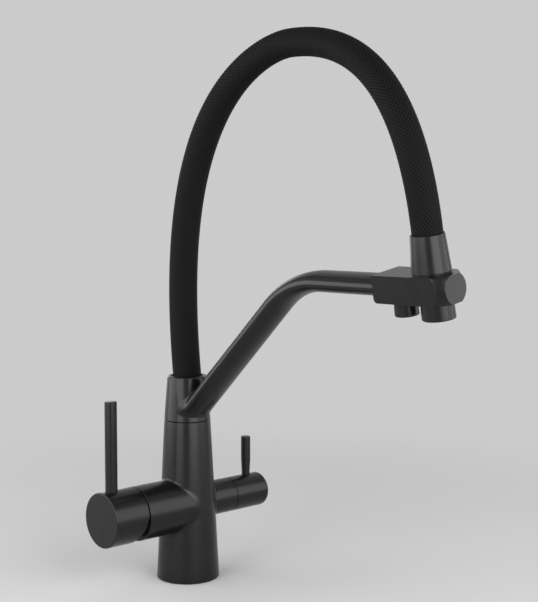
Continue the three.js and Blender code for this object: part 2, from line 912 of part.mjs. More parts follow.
function endFitting() {
  const foot = blockHalfHeight - endSpigotLength;
  const neckTop = endFlangeFoot + fittingFlange + fittingNeck;
  const bodyShape = turned([
    [0, foot],
    [endSpigotRadius, foot],
    [endSpigotRadius, endFlangeFoot],
    [hoseEndRadius, endFlangeFoot],
    [hoseEndRadius, endFlangeFoot + fittingFlange],
    [neckIn(hoseEndRadius), endFlangeFoot + fittingFlange],
    [neckIn(hoseEndRadius), neckTop],
    [fittingBore, neckTop],
    [fittingBore, endFlangeFoot + fittingFlange],
    [0, endFlangeFoot + fittingFlange],
  ]);
  const socket = (radius, offset) =>
    rod(
      radius + fitGap,
      endFlangeFoot - tubeSocket,
      endFlangeFoot + fittingFlange + past,
      small,
    ).translate(offset, 0, 0);
  return cut(
    bodyShape,
    socket(mixedTubeRadius, mixedTubeOffset),
    socket(filteredTubeRadius, filteredTubeOffset),
  );
}

piece(outlet, "hose_end_fitting", onSeat(endFitting(), hoseSeat), steel);

const ferruleBore = hoseEndRadius + fitGap;
piece(
  outlet,
  "hose_end_ferrule",
  onSeat(
    turned(
      [
        [endSpigotRadius + fitGap, blockHalfHeight + fitGap],
        [ferruleBottomRadius - 1, blockHalfHeight + fitGap],
        [ferruleBottomRadius - 1, ferruleBottom],
        [ferruleBottomRadius, ferruleBottom],
        ...arc(ferruleTopRadius - ferruleEdge, ferruleTop - ferruleEdge, ferruleEdge, 0, 90, 2),
        [ferruleBore, ferruleTop],
        [ferruleBore, ferruleBottom + ferruleWeb],
        [endSpigotRadius + fitGap, ferruleBottom + ferruleWeb],
        [endSpigotRadius + fitGap, blockHalfHeight + fitGap],
      ],
      medium,
    ),
    hoseSeat,
  ),
  blackCoat,
);

// ---------------------------------------------------------------- outlets

// A nozzle turned about the outlet's axis: a stub in the block, a skirt, and a pocket below.
function nozzle(drop, radius, pocket, stub, facets) {
  const waterWay = stub - 1.8;
  const skirtTop = -blockHalfHeight - fitGap;
  const pocketTop = -drop + pocketDepth;
  return turned(
    [
      [pocket, -drop],
      ...arc(radius - nozzleEdge, -drop + nozzleEdge, nozzleEdge, -90, 0, 2),
      [radius, skirtTop],
      [stub, skirtTop],
      [stub, -blockHalfHeight + stubLength],
      [waterWay, -blockHalfHeight + stubLength],
      [waterWay, pocketTop],
      [pocket, pocketTop],
      [pocket, -drop],
    ],
    facets,
  );
}

// The insert in a nozzle's pocket: a cup with ring slots round a middle pin.
function strainer(drop, pocket, slots) {
  const outer = pocket - fitGap;
  const foot = -drop + insertRecess;
  const top = -drop + pocketDepth - washerThickness - 2 * fitGap;
  const pitch = (outer - 1) / (slots + 0.5);
  const profile = [[0, foot]];
  for (let i = 0; i < slots; i++) {
    const wall = pitch * (i + 0.5);
    profile.push(
      [wall, foot],
      [wall, foot + 1.4],
      [wall + pitch / 2, foot + 1.4],
      [wall + pitch / 2, foot],
    );
  }
  profile.push([outer, foot], [outer, top], [0, top]);
  return turned(profile, coarse);
}

function washer(drop, pocket, hole) {
  const top = -drop + pocketDepth - fitGap;
  return tube(pocket - fitGap, hole, top - washerThickness, top, coarse);
}

function outletPieces(name, insertName, reach, drop, radius, pocket, stub, slots, facets) {
  const nozzleBody = nozzle(drop, radius, pocket, stub, facets);
  piece(outlet, `${name}_outlet_nozzle`, onSeat(nozzleBody, reach), blackCoat);
  piece(outlet, insertName, onSeat(strainer(drop, pocket, slots), reach), palePlastic);
  const ringHole = stub - 1.8;
  piece(outlet, `${name}_outlet_washer`, onSeat(washer(drop, pocket, ringHole), reach), rubber);
}

outletPieces(
  "mixed",
  "mixed_outlet_aerator",
  mixedReach,
  mixedDrop,
  mixedNozzleRadius,
  mixedPocket,
  mixedStub,
  3,
  medium,
);
outletPieces(
  "filtered",
  "filtered_outlet_insert",
  filteredReach,
  filteredDrop,
  filteredNozzleRadius,
  filteredPocket,
  filteredStub,
  2,
  coarse,
);

// ---------------------------------------------------------------- mixing cartridge

const housingFoot = cartridgeSeat + sealThickness + fitGap;
const housingFloor = housingFoot + cartridgeBase;
const discTop = housingFloor + discThickness;
const movingStart = discTop + discClearance;
const carrierStart = movingStart + movingThickness + discClearance;
const carrierTop = carrierStart + carrierThickness;
const ballReach = carrierTop - ballDepth;
const rotorStart = carrierTop + fitGap;
const rotorShoulder = rotorStart + rotorFlangeLength;
const pivotReach = rotorShoulder + pivotRise;
const rotorEnd = pivotReach + rotorCrown;
const housingTop = rotorShoulder + fitGap;
const capStart = housingTop;
const capTop = capStart + capThickness;
const nutStart = capTop + fitGap;
const nutStep = mixerBossEnd - fitGap;
const nutEnd = mixerBossEnd + nutRim;
const coverEnd = mixerBossEnd + coverRise;

piece(
  mixerAxis,
  "cartridge_base_seal",
  tube(cartridgeRadius, sealBore, cartridgeSeat + fitGap, cartridgeSeat + sealThickness, medium),
  rubber,
);

function housing() {
  const cup = turned([
    [0, housingFoot],
    [cartridgeRadius, housingFoot],
    [cartridgeRadius, housingTop - fitGap],
    [cartridgeInner, housingTop - fitGap],
    [cartridgeInner, housingFloor - fitGap],
    [0, housingFloor - fitGap],
  ]);
  const ports = [-60, 60, 180].map((angle) =>
    rod(2.6, housingFoot - past, housingFloor + past, small).translate(
      cartridgePortCircle * Math.cos(rad(angle)),
      cartridgePortCircle * Math.sin(rad(angle)),
      0,
    ),
  );
  return cut(cup, ...ports);
}

piece(mixerAxis, "cartridge_housing", housing(), darkPlastic);

function fixedDisc() {
  const disc = rod(cartridgeInner - fitGap, housingFloor, discTop, medium);
  const ports = [-60, 60, 180].map((angle) =>
    rod(2.4, housingFloor - past, discTop + past, small).translate(
      cartridgePortCircle * Math.cos(rad(angle)),
      cartridgePortCircle * Math.sin(rad(angle)),
      0,
    ),
  );
  return cut(disc, ...ports);
}

piece(mixerAxis, "fixed_ceramic_disc", fixedDisc(), ceramic);

function movingDisc() {
  const disc = rod(movingRadius, movingStart, movingStart + movingThickness, medium);
  const chamber = rod(6.5, movingStart - past, movingStart + 1.4);
  return cut(disc, chamber).translate(-discOffset, 0, 0);
}

piece(mixerAxis, "moving_ceramic_disc", movingDisc(), ceramic);

function carrier() {
  const disc = rod(movingRadius - 0.2, carrierStart, carrierTop, medium);
  disc.translate(-discOffset, 0, 0);
  const wide = 2 * movingRadius;
  return cut(
    disc,
    block(-wide, wide, carrierFlat, wide, carrierStart + 0.8, carrierTop + past),
    block(-wide, wide, -wide, -carrierFlat, carrierStart + 0.8, carrierTop + past),
    rod(ballRadius + fitGap, carrierStart - past, carrierTop + past, small),
  );
}

piece(mixerAxis, "disc_carrier", carrier(), palePlastic);

// The hole for the pivot pin, across a handle's own frame.
const pinHole = (clearance, half) =>
  rod(pinRadius + clearance, -2 * half, 2 * half, small)
    .rotateX(Math.PI / 2)
    .translate(0, 0, pivotReach);

function rotor() {
  const barrel = turned([
    [0, rotorStart],
    [rotorFlange, rotorStart],
    [rotorFlange, rotorShoulder],
    [rotorNeck, rotorShoulder],
    [rotorNeck, rotorEnd],
    [0, rotorEnd],
  ]);
  const lugFoot = carrierStart + 1.25;
  const lugs = [
    block(-4, 4, carrierFlat + fitGap, lugOuter, lugFoot, rotorStart + past),
    block(-4, 4, -lugOuter, -carrierFlat - fitGap, lugFoot, rotorStart + past),
  ];
  const swing = stemHalf + 2.4;
  const slot = block(-swing, swing, -stemSlot, stemSlot, rotorStart - past, rotorEnd + past);
  return cut(join(barrel, ...lugs), slot, pinHole(0.15, rotorNeck));
}

piece(mixerAxis, "cartridge_rotor", rotor(), palePlastic);
piece(
  mixerAxis,
  "stem_pivot_pin",
  rod(pinRadius, -pinHalfLength, pinHalfLength, small)
    .rotateX(Math.PI / 2)
    .translate(0, 0, pivotReach),
  steel,
);
piece(
  mixerAxis,
  "cartridge_cap",
  tube(cartridgeRadius, rotorNeck + fitGap, capStart, capTop),
  darkPlastic,
);
piece(
  mixerAxis,
  "cartridge_nut",
  turned([
    [nutBore, nutStart],
    [nutThread, nutStart],
    [nutThread, nutStep],
    [nutNeck, nutStep],
    [nutNeck, nutEnd],
    [nutBore, nutEnd],
    [nutBore, nutStart],
  ]),
  brass,
);
piece(
  mixerAxis,
  "cartridge_cover_ring",
  turned(
    [
      [nutNeck + fitGap, nutStep + fitGap],
      [coverFlange, nutStep + fitGap],
      [coverFlange, nutStep + fitGap + coverFlangeThickness],
      [coverRadius, nutStep + fitGap + coverFlangeThickness],
      ...arc(coverRadius - coverRound, coverEnd - coverRound, coverRound, 0, 90, 2),
      [nutBore + fitGap, coverEnd],
      [nutBore + fitGap, coverEnd - coverLip],
      [nutNeck + fitGap, coverEnd - coverLip],
      [nutNeck + fitGap, nutStep + fitGap],
    ],
    medium,
  ),
  darkPlastic,
);

// ---------------------------------------------------------------- mixer handle

const hubFoot = mixerBossEnd + mixerGap;
const leverSink = 0.6; // the lever stands in a shallow spot face
const leverStub = 7;

// The hole in a hub's upper side that takes a lever: a spot face and a threaded bore.
const leverHole = (hubRadius, rootRadius, stubRadius) =>
  join(
    rod(rootRadius + fitGap, hubRadius - leverSink - fitGap, hubRadius + 2),
    rod(stubRadius + fitGap, hubRadius - leverSink - leverStub - fitGap, hubRadius, small),
  );

// The hole in a hub's underside that takes its screw and plug.
const screwHoleFrom = (hubRadius, inner) =>
  rod(handleScrewRadius + fitGap, inner, hubRadius + 2, small).rotateX(Math.PI);

function mixerHub() {
  const shell = turned(
    [
      [mixerRadius - mixerHubWall, hubFoot],
      [mixerRadius, hubFoot],
      [mixerRadius, mixerHubEnd - handleEdge],
      [mixerRadius - handleEdge, mixerHubEnd],
      [0, mixerHubEnd],
      [0, mixerHubFloor],
      [mixerRadius - mixerHubWall, mixerHubFloor],
      [mixerRadius - mixerHubWall, hubFoot],
    ],
    fine,
  );
  const drop = reliefHeight + mixerRadius + 2;
  const wedge = new THREE.Shape();
  wedge.moveTo(reliefHeight, hubFoot - 2 * past);
  wedge.lineTo(reliefHeight, hubFoot);
  wedge.lineTo(reliefHeight - drop, hubFoot + drop * Math.tan(rad(mixerTilt)));
  wedge.lineTo(reliefHeight - drop, hubFoot - 2 * past);
  const relief = new THREE.ExtrudeGeometry(wedge, { depth: 3 * mixerRadius, bevelEnabled: false });
  relief.translate(0, 0, -1.5 * mixerRadius);
  relief.applyMatrix4(new THREE.Matrix4().set(1, 0, 0, 0, 0, 0, -1, 0, 0, 1, 0, 0, 0, 0, 0, 1));
  const socket = stemHalf + fitGap;
  return cut(
    shell,
    relief,
    block(-socket, socket, -socket, socket, mixerHubFloor - past, stemEnd + fitGap),
    upright(leverHole(mixerRadius, mixerLeverRadius, mixerLeverStub), mixerLeverReach),
    upright(screwHoleFrom(mixerRadius, 0), mixerScrewReach),
  );
}

function stem() {
  const waistEnd = rotorEnd + 0.5;
  const waist = block(-3.5, 3.5, -stemHalf, stemHalf, pivotReach - 3.6, waistEnd);
  const shank = block(-stemHalf, stemHalf, -stemHalf, stemHalf, waistEnd - 0.5, stemEnd);
  const neck = rod(1.5, ballReach, pivotReach, small);
  const ball = new THREE.SphereGeometry(ballRadius, small, 6).translate(0, 0, ballReach);
  return cut(join(waist, shank, neck, ball), pinHole(0.3, stemHalf));
}

function lever({ radius, rootRadius, foot, taper, top, stubRadius }) {
  return turned(
    [
      [0, foot - leverStub],
      [stubRadius, foot - leverStub],
      [stubRadius, foot],
      [rootRadius, foot],
      [radius, foot + taper],
      [radius, top - handleEdge],
      [radius - handleEdge, top],
      [0, top],
    ],
    medium,
  );
}

piece(mixerAxis, "mixer_handle_hub", mixerHub(), blackCoat);
piece(mixerAxis, "mixer_stem", stem(), steel);
piece(
  mixerAxis,
  "mixer_lever",
  upright(
    lever({
      radius: mixerLeverRadius,
      rootRadius: mixerLeverRadius,
      foot: mixerRadius - leverSink,
      taper: 0.5,
      top: mixerLeverTop - handleHeight,
      stubRadius: mixerLeverStub,
    }),
    mixerLeverReach,
  ),
  blackCoat,
);

// A screw and its plug in the underside of a hub, from the piece that it presses on outward.
function handleScrew(parent, handle, inner, hubRadius, reach) {
  const plugStart = hubRadius - screwPlugDepth - fitGap;
  const screwStart = inner + fitGap;
  const screwEnd = Math.min(screwStart + handleScrewLength, plugStart - fitGap);
  const turnedDown = (geometry) => upright(geometry.rotateX(Math.PI), reach);
  piece(
    parent,
    `${handle}_grub_screw`,
    turnedDown(rod(handleScrewRadius, screwStart, screwEnd, small)),
    steel,
  );
  piece(
    parent,
    `${handle}_screw_plug`,
    turnedDown(rod(handleScrewRadius, plugStart, hubRadius - fitGap, small)),
    rubber,
  );
}

handleScrew(mixerAxis, "mixer", stemHalf, mixerRadius, mixerScrewReach);

// ---------------------------------------------------------------- filter valve and handle

const quarterStart = headworkStart + fitGap;
const quarterTurnStart = quarterStart + quarterDiscThickness + discClearance;
const footStart = quarterTurnStart + quarterDiscThickness + discClearance;

piece(
  filterAxis,
  "headwork_body",
  turned([
    [headworkCup, headworkStart],
    [headworkThread, headworkStart],
    [headworkThread, filterBossEnd + fitGap],
    [headworkHead, filterBossEnd + fitGap],
    [headworkHead, headworkShoulder],
    [headworkNeck, headworkShoulder],
    [headworkNeck, headworkEnd],
    [spindleRadius + fitGap, headworkEnd],
    [spindleRadius + fitGap, headworkCupEnd],
    [headworkCup, headworkCupEnd],
    [headworkCup, headworkStart],
  ]),
  brass,
);
piece(
  filterAxis,
  "headwork_seat_seal",
  tube(quarterDiscRadius + 1, 5.5, headworkSeat + fitGap, headworkStart - fitGap),
  rubber,
);

function quarterDisc(start) {
  const disc = rod(quarterDiscRadius, start, start + quarterDiscThickness);
  const window = (side) =>
    rod(2.6, start - past, start + quarterDiscThickness + past, small)
      .translate(side * 4.4, 0, 0);
  return cut(disc, window(1), window(-1));
}

piece(filterAxis, "headwork_fixed_disc", quarterDisc(quarterStart), ceramic);
piece(
  filterAxis,
  "headwork_turning_disc",
  quarterDisc(quarterTurnStart).rotateZ(Math.PI / 2),
  ceramic,
);

function spindle() {
  const depth = 2 * spindleRingSection;
  const shaft = turned([
    [0, footStart],
    [quarterDiscRadius, footStart],
    [quarterDiscRadius, footStart + spindleFoot],
    [spindleRadius, footStart + spindleFoot],
    [spindleRadius, spindleRingReach - spindleRingSection - fitGap],
    [spindleRadius - depth, spindleRingReach - spindleRingSection - fitGap],
    [spindleRadius - depth, spindleRingReach + spindleRingSection + fitGap],
    [spindleRadius, spindleRingReach + spindleRingSection + fitGap],
    [spindleRadius, spindleEnd],
    [0, spindleEnd],
  ], coarse);
  const splines = [];
  const groove = [spindleRadius - 0.5, spindleRadius + past, -0.5, 0.5];
  for (let k = 0; k < 6; k++)
    splines.push(
      block(...groove, headworkEnd + 2, spindleEnd + past).rotateZ((Math.PI * k) / 3),
    );
  return cut(shaft, ...splines);
}

piece(filterAxis, "filter_spindle", spindle(), brass);
piece(
  filterAxis,
  "spindle_o_ring",
  ring(spindleRadius - spindleRingSection + 0.1, spindleRingSection, spindleRingReach),
  rubber,
);

function filterHub() {
  const foot = filterBossEnd + filterGap;
  const inner = filterRadius - filterHubWall;
  const shell = turned(
    [
      [inner, foot],
      [filterRadius, foot],
      ...arc(filterRadius - filterEndRound, filterHubEnd - filterEndRound, filterEndRound, 0, 90),
      [0, filterHubEnd],
      [0, filterHubFloor],
      [inner, filterHubFloor],
      [inner, foot],
    ],
    32,
  );
  return cut(
    shell,
    rod(spindleRadius + fitGap, filterHubFloor - past, spindleEnd + fitGap),
    upright(leverHole(filterRadius, filterLeverRootRadius, filterLeverStub), filterLeverReach),
    upright(screwHoleFrom(filterRadius, 0), filterScrewReach),
  );
}

piece(filterAxis, "filter_handle_hub", filterHub(), blackCoat);
piece(
  filterAxis,
  "filter_lever",
  upright(
    lever({
      radius: filterLeverRadius,
      rootRadius: filterLeverRootRadius,
      foot: filterRadius - leverSink,
      taper: filterLeverTaper,
      top: filterLeverTop - handleHeight,
      stubRadius: filterLeverStub,
    }),
    filterLeverReach,
  ),
  blackCoat,
);
handleScrew(filterAxis, "filter", spindleRadius, filterRadius, filterScrewReach);

export default tap;
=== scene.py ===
"""Three way filtered water tap: the finished surfaces, the light and the camera, laid round the
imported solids. Lengths are worked out in millimetres in the part's own frame and made metres
where a mesh is written. +Z is up, the spout points to -Y and the mixer handle to -X."""

import json
import math
from collections import namedtuple

import bmesh
import bpy
import numpy as np
from mathutils import Matrix, Vector


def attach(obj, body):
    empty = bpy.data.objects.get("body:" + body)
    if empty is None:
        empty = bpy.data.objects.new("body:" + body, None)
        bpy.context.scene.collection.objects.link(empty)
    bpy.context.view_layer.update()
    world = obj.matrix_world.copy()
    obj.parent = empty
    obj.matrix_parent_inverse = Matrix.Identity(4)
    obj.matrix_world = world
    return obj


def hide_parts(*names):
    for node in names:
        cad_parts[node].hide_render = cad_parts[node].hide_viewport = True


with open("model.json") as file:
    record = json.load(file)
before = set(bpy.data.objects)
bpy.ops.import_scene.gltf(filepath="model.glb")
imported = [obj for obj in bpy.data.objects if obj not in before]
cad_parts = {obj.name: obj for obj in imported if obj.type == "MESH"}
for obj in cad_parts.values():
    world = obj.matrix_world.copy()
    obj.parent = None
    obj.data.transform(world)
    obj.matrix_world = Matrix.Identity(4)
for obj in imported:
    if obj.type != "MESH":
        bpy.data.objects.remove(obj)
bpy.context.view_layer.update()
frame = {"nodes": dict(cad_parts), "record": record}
MM = 0.001

# ---------------- sizes

FIT_GAP = 0.3  # clearance round a piece that is let in

# column and collar
BASE_RADIUS = 25.0
COLUMN_TOP_RADIUS = 18.4
COLUMN_TOP = 126.9
COLLAR_FOOT = 127.3
COLLAR_TOP = 162.5
COLLAR_TOP_RADIUS = 15.8
COLLAR_EDGE = 2.0
SWIVEL_BORE = 11.8
SWIVEL_FLOOR = 97.3
HOSE_BORE = 12.6
COLLAR_FLOOR = 141.0
WEB_BORE = 8.2
WEB_FOOT = 136.3
SCREW_HEIGHT = 113.2
SCREW_HOLE = 2.2
SCREW_FLOOR = 12.4
SCREW_TIP = 10.3
SCREW_RADIUS = 1.9
# the water ports and the stud holes in the underside: angles, circle, radius and depth
BASE_HOLES = (((90, 210, 330), 10.8, 5.2, 14.0), ((30, 150), 15.0, 2.5, 12.0))
SEAL_INNER = 19.9
SEAL_OUTER = 23.1
SEAL_THICKNESS = 1.7
BOSS_BLEND = 1.7  # how far the corner between the column and a boss reaches
GRID_STEP = 3.6625  # height of a row of the column's mesh beside the bosses

# arm and outlet block
ARM_HEIGHT = 243.6
ARM_INCLINE = math.radians(43.1)
ARM_ROOT = 125.8
ARM_BEND = 70.0
ARM_PATCH = (127.75, 160.2)  # between these heights the arm's corner takes up the collar's front
# half the oval's width and thickness
ARM_ROOT_HALF, ARM_BEND_HALF, ARM_END_HALF = np.array(((13.5, 7.8), (12.8, 7.8), (12.5, 7.3)))
BLOCK_REAR = 210.0
BLOCK_FRONT = 268.0
BLOCK_HALF_WIDTH = 14.0
BLOCK_HALF_HEIGHT = 9.3
BLOCK_ROLL = math.radians(10.9)
TURNED_DISC = 10.4
TURNED_RADIUS = 17.0
TURNED_LENGTH = 9.7
TURNED_BOW = 0.8
REAR_ROUND = 3.0

# hose
HOSE_RADIUS = 11.2
HOSE_END_RADIUS = 10.1
HOSE_DRAW = (200.0, 330.0)
HOSE_WALL = 1.4
HOSE_SEAT = 250.0
SLEEVE_FOOT = 143.6
SLEEVE_END = 14.1
HOSE_LEAN = math.radians(7.4)
ROOT_HANDLE = 228.0
CROWN = (0.0, -117.5, 410.7)
CROWN_BACK = 22.5
CROWN_FRONT = 70.0
END_HANDLE = 91.0
FERRULE_TOP = 34.8
FERRULE_BOTTOM = 10.3
FERRULE_TOP_RADIUS = 11.43
FERRULE_BOTTOM_RADIUS = 13.28
FERRULE_BORE = 10.4
FERRULE_WEB_BORE = 7.9
STRANDS = 24  # of each hand round the hose
BRAID_RELIEF = 0.5  # from the hollows between the strands to the crossings

# outlets: place, drop below the block's axis, radii, and the size of a honeycomb cell
Outlet = namedtuple("Outlet", "reach drop radius pocket stub cell")
MIXED = Outlet(reach=251.8, drop=20.3, radius=11.3, pocket=9.2, stub=7.7, cell=1.75)
FILTERED = Outlet(reach=225.3, drop=19.6, radius=8.4, pocket=6.5, stub=4.8, cell=1.55)

# handles
HANDLE_HEIGHT = 59.3
MIXER_RADIUS = 21.1
MIXER_BOSS_END = 52.5
MIXER_HUB_FOOT = 53.5
MIXER_HUB_END = 83.6
MIXER_LEVER_REACH = 74.0
MIXER_LEVER_RADIUS = 4.7
MIXER_LEVER_TOP = 149.2
MIXER_SCREW_REACH = 73.0
MIXER_TILT = math.radians(20)
MIXER_HUB_BORE = 18.6
MIXER_HUB_FLOOR = 66
STEM_HALF = 4.3  # half the side of the square socket in the mixer hub
RELIEF_HEIGHT = 3.0
CARTRIDGE_BORE = 17.8
CARTRIDGE_FLOOR = 25.1
FILTER_RADIUS = 13.8
FILTER_BOSS_END = 41.5
FILTER_HUB_FOOT = 41.9
FILTER_HUB_END = 76.4
FILTER_LEVER_REACH = 62.0
FILTER_LEVER_TOP = 105.4
FILTER_SCREW_REACH = 63.0
FILTER_HUB_BORE = 11.2
FILTER_HUB_FLOOR = 58
HEADWORK_BORE = 10.4
HEADWORK_FLOOR = 19.3
LEVER_SINK = 0.6
LEVER_SEAT = 0.9  # depth of a lever's seat in its hub
SCREW_HOLE_RADIUS = 2.3  # of a grub screw's hole in the underside of a hub

CONE_SLOPE = (BASE_RADIUS - COLUMN_TOP_RADIUS) / COLUMN_TOP
COLLAR_SLOPE = (COLUMN_TOP_RADIUS - COLLAR_TOP_RADIUS) / (COLLAR_TOP - COLUMN_TOP)


def cone(z):
    """The column's radius at a height."""
    return BASE_RADIUS - CONE_SLOPE * z


def collar(z):
    """The collar's radius at a height: it narrows faster than the column."""
    return COLUMN_TOP_RADIUS - COLLAR_SLOPE * (z - COLUMN_TOP)


# Each frame takes a point of a shape made along +Z to its place in the part.
UPRIGHT = Matrix.Identity(4)
MIXER = Matrix(((0, 0, -1, 0), (0, 1, 0, 0), (1, 0, 0, HANDLE_HEIGHT), (0, 0, 0, 1)))
FILTER = Matrix(((0, 0, 1, 0), (0, -1, 0, 0), (1, 0, 0, HANDLE_HEIGHT), (0, 0, 0, 1)))
OUTLET = Matrix.Translation((0, 0, ARM_HEIGHT)) @ Matrix.Rotation(-BLOCK_ROLL, 4, "Y")


# ---------------- meshes


def add(name, data):
    """A new object in the scene."""
    made = bpy.data.objects.new(name, data)
    bpy.context.scene.collection.objects.link(made)
    return made


def piece(name, points, faces, place=UPRIGHT):
    """A mesh object from points in millimetres, set in place in metres."""
    mesh = bpy.data.meshes.new(name)
    mesh.from_pydata([tuple(p) for p in points], [], [tuple(f) for f in faces])
    mesh.transform(Matrix.Scale(MM, 4) @ place)
    mesh.polygons.foreach_set("use_smooth", [True] * len(mesh.polygons))
    mesh.update()
    return add(name, mesh)


def add_face(faces, corners):
    """Adds a face, without the corners that fall together."""
    face = list(dict.fromkeys(corners))
    if len(face) > 2:
        faces.append(face)


def strip(faces, lower, upper):
    """Adds the faces between two rings of points."""
    for k in range(len(lower)):
        nxt = (k + 1) % len(lower)
        add_face(faces, [lower[k], lower[nxt], upper[nxt], upper[k]])


def prism(name, first, last, place):
    """A solid between two like outlines, each a list of points."""
    low, high = range(len(first)), range(len(first), 2 * len(first))
    faces = [list(low)[::-1], list(high)]
    strip(faces, low, high)
    return piece(name, first + last, faces, place)


def rounded(corners):
    """A profile whose corners (radius, height, round) are rounded where a round is given."""
    points, steps = [], 4
    count = len(corners)
    for i, corner in enumerate(corners):
        here = np.array(corner[:2], float)
        if len(corner) < 3:
            points.append(here)
            continue
        before, after = (np.array(corners[j % count][:2], float) - here for j in (i - 1, i + 1))
        before /= np.linalg.norm(before)
        after /= np.linalg.norm(after)
        half = math.acos(np.clip(before @ after, -1, 1)) / 2
        reach = corner[2] / math.tan(half)
        inward = (before + after) / np.linalg.norm(before + after)
        middle = here + inward * corner[2] / math.sin(half)
        first = here + before * reach - middle
        last = here + after * reach - middle
        sweep = math.acos(np.clip(first @ last / corner[2] ** 2, -1, 1))
        if sweep < 1e-4:
            points.append(here)
            continue
        for k in range(steps + 1):
            share = k / steps
            mixed = first * math.sin((1 - share) * sweep) + last * math.sin(share * sweep)
            points.append(middle + mixed / math.sin(sweep))
    return points


def turned_rings(profile, steps):
    """The points and rings of a profile turned about +Z. It runs up the outside from axis to
    axis, or closes on itself."""
    points, rings = [], []
    for r, z in profile:
        start = len(points)
        if r < 1e-9:
            rings.append([start] * steps)
            points.append((0.0, 0.0, z))
            continue
        rings.append(list(range(start, start + steps)))
        for k in range(steps):
            angle = 2 * math.pi * k / steps
            points.append((r * math.cos(angle), r * math.sin(angle), z))
    if profile[0][0] > 1e-9:
        rings.append(rings[0])
    return points, rings


def turned(name, corners, place=UPRIGHT, steps=96):
    """A turned piece, from its profile's corners."""
    points, rings = turned_rings(rounded(corners), steps)
    faces = []
    for lower, upper in zip(rings, rings[1:]):
        strip(faces, lower, upper)
    return piece(name, points, faces, place)


def settle(made, sharp=35, bevel=0.0):
    """Applies the edge rounding and the weighted normals to a piece's mesh."""
    if bevel:
        rounding = made.modifiers.new("edges", "BEVEL")
        rounding.width = bevel * MM
        rounding.segments = 3
        rounding.limit_method = "ANGLE"
        rounding.angle_limit = math.radians(32)
        rounding.use_clamp_overlap = True
    bake(made)
    sharpen(made, sharp)
    weighted = made.modifiers.new("normals", "WEIGHTED_NORMAL")
    weighted.keep_sharp = True
    bake(made)
    return made


def bake(made):
    """Replaces a piece's mesh by what its modifiers make of it."""
    depsgraph = bpy.context.evaluated_depsgraph_get()
    fresh = bpy.data.meshes.new_from_object(made.evaluated_get(depsgraph), depsgraph=depsgraph)
    old = made.data
    made.modifiers.clear()
    made.data = fresh
    fresh.name = made.name
    bpy.data.meshes.remove(old)


def sharpen(made, degrees):
    """Marks the edges where two faces meet at more than an angle."""
    work = bmesh.new()
    work.from_mesh(made.data)
    for edge in work.edges:
        edge.smooth = edge.calc_face_angle(0) < math.radians(degrees)
    work.to_mesh(made.data)
    work.free()


def cut(made, *tools, operation="DIFFERENCE"):
    """Cuts tools out of a piece, and removes them."""
    for tool in tools:
        step = made.modifiers.new("cut", "BOOLEAN")
        step.operation = operation
        step.solver = "EXACT"
        step.object = tool
        bake(made)
        mesh = tool.data
        bpy.data.objects.remove(tool)
        bpy.data.meshes.remove(mesh)
    return made


def rod(radius, low, high, place, steps=48):
    """A plain round tool for a cut."""
    return turned("tool", [(0, low), (radius, low), (radius, high), (0, high)], place, steps)


def crosswise(place, reach, down=False):
    """A frame that stands up (or hangs down) from a handle's axis, at a reach along the handle."""
    stand = Matrix.Translation((0, 0, reach)) @ Matrix.Rotation(math.pi / 2, 4, "Y")
    if down:
        stand = stand @ Matrix.Rotation(math.pi, 4, "X")
    return place @ stand


# ---------------- castings


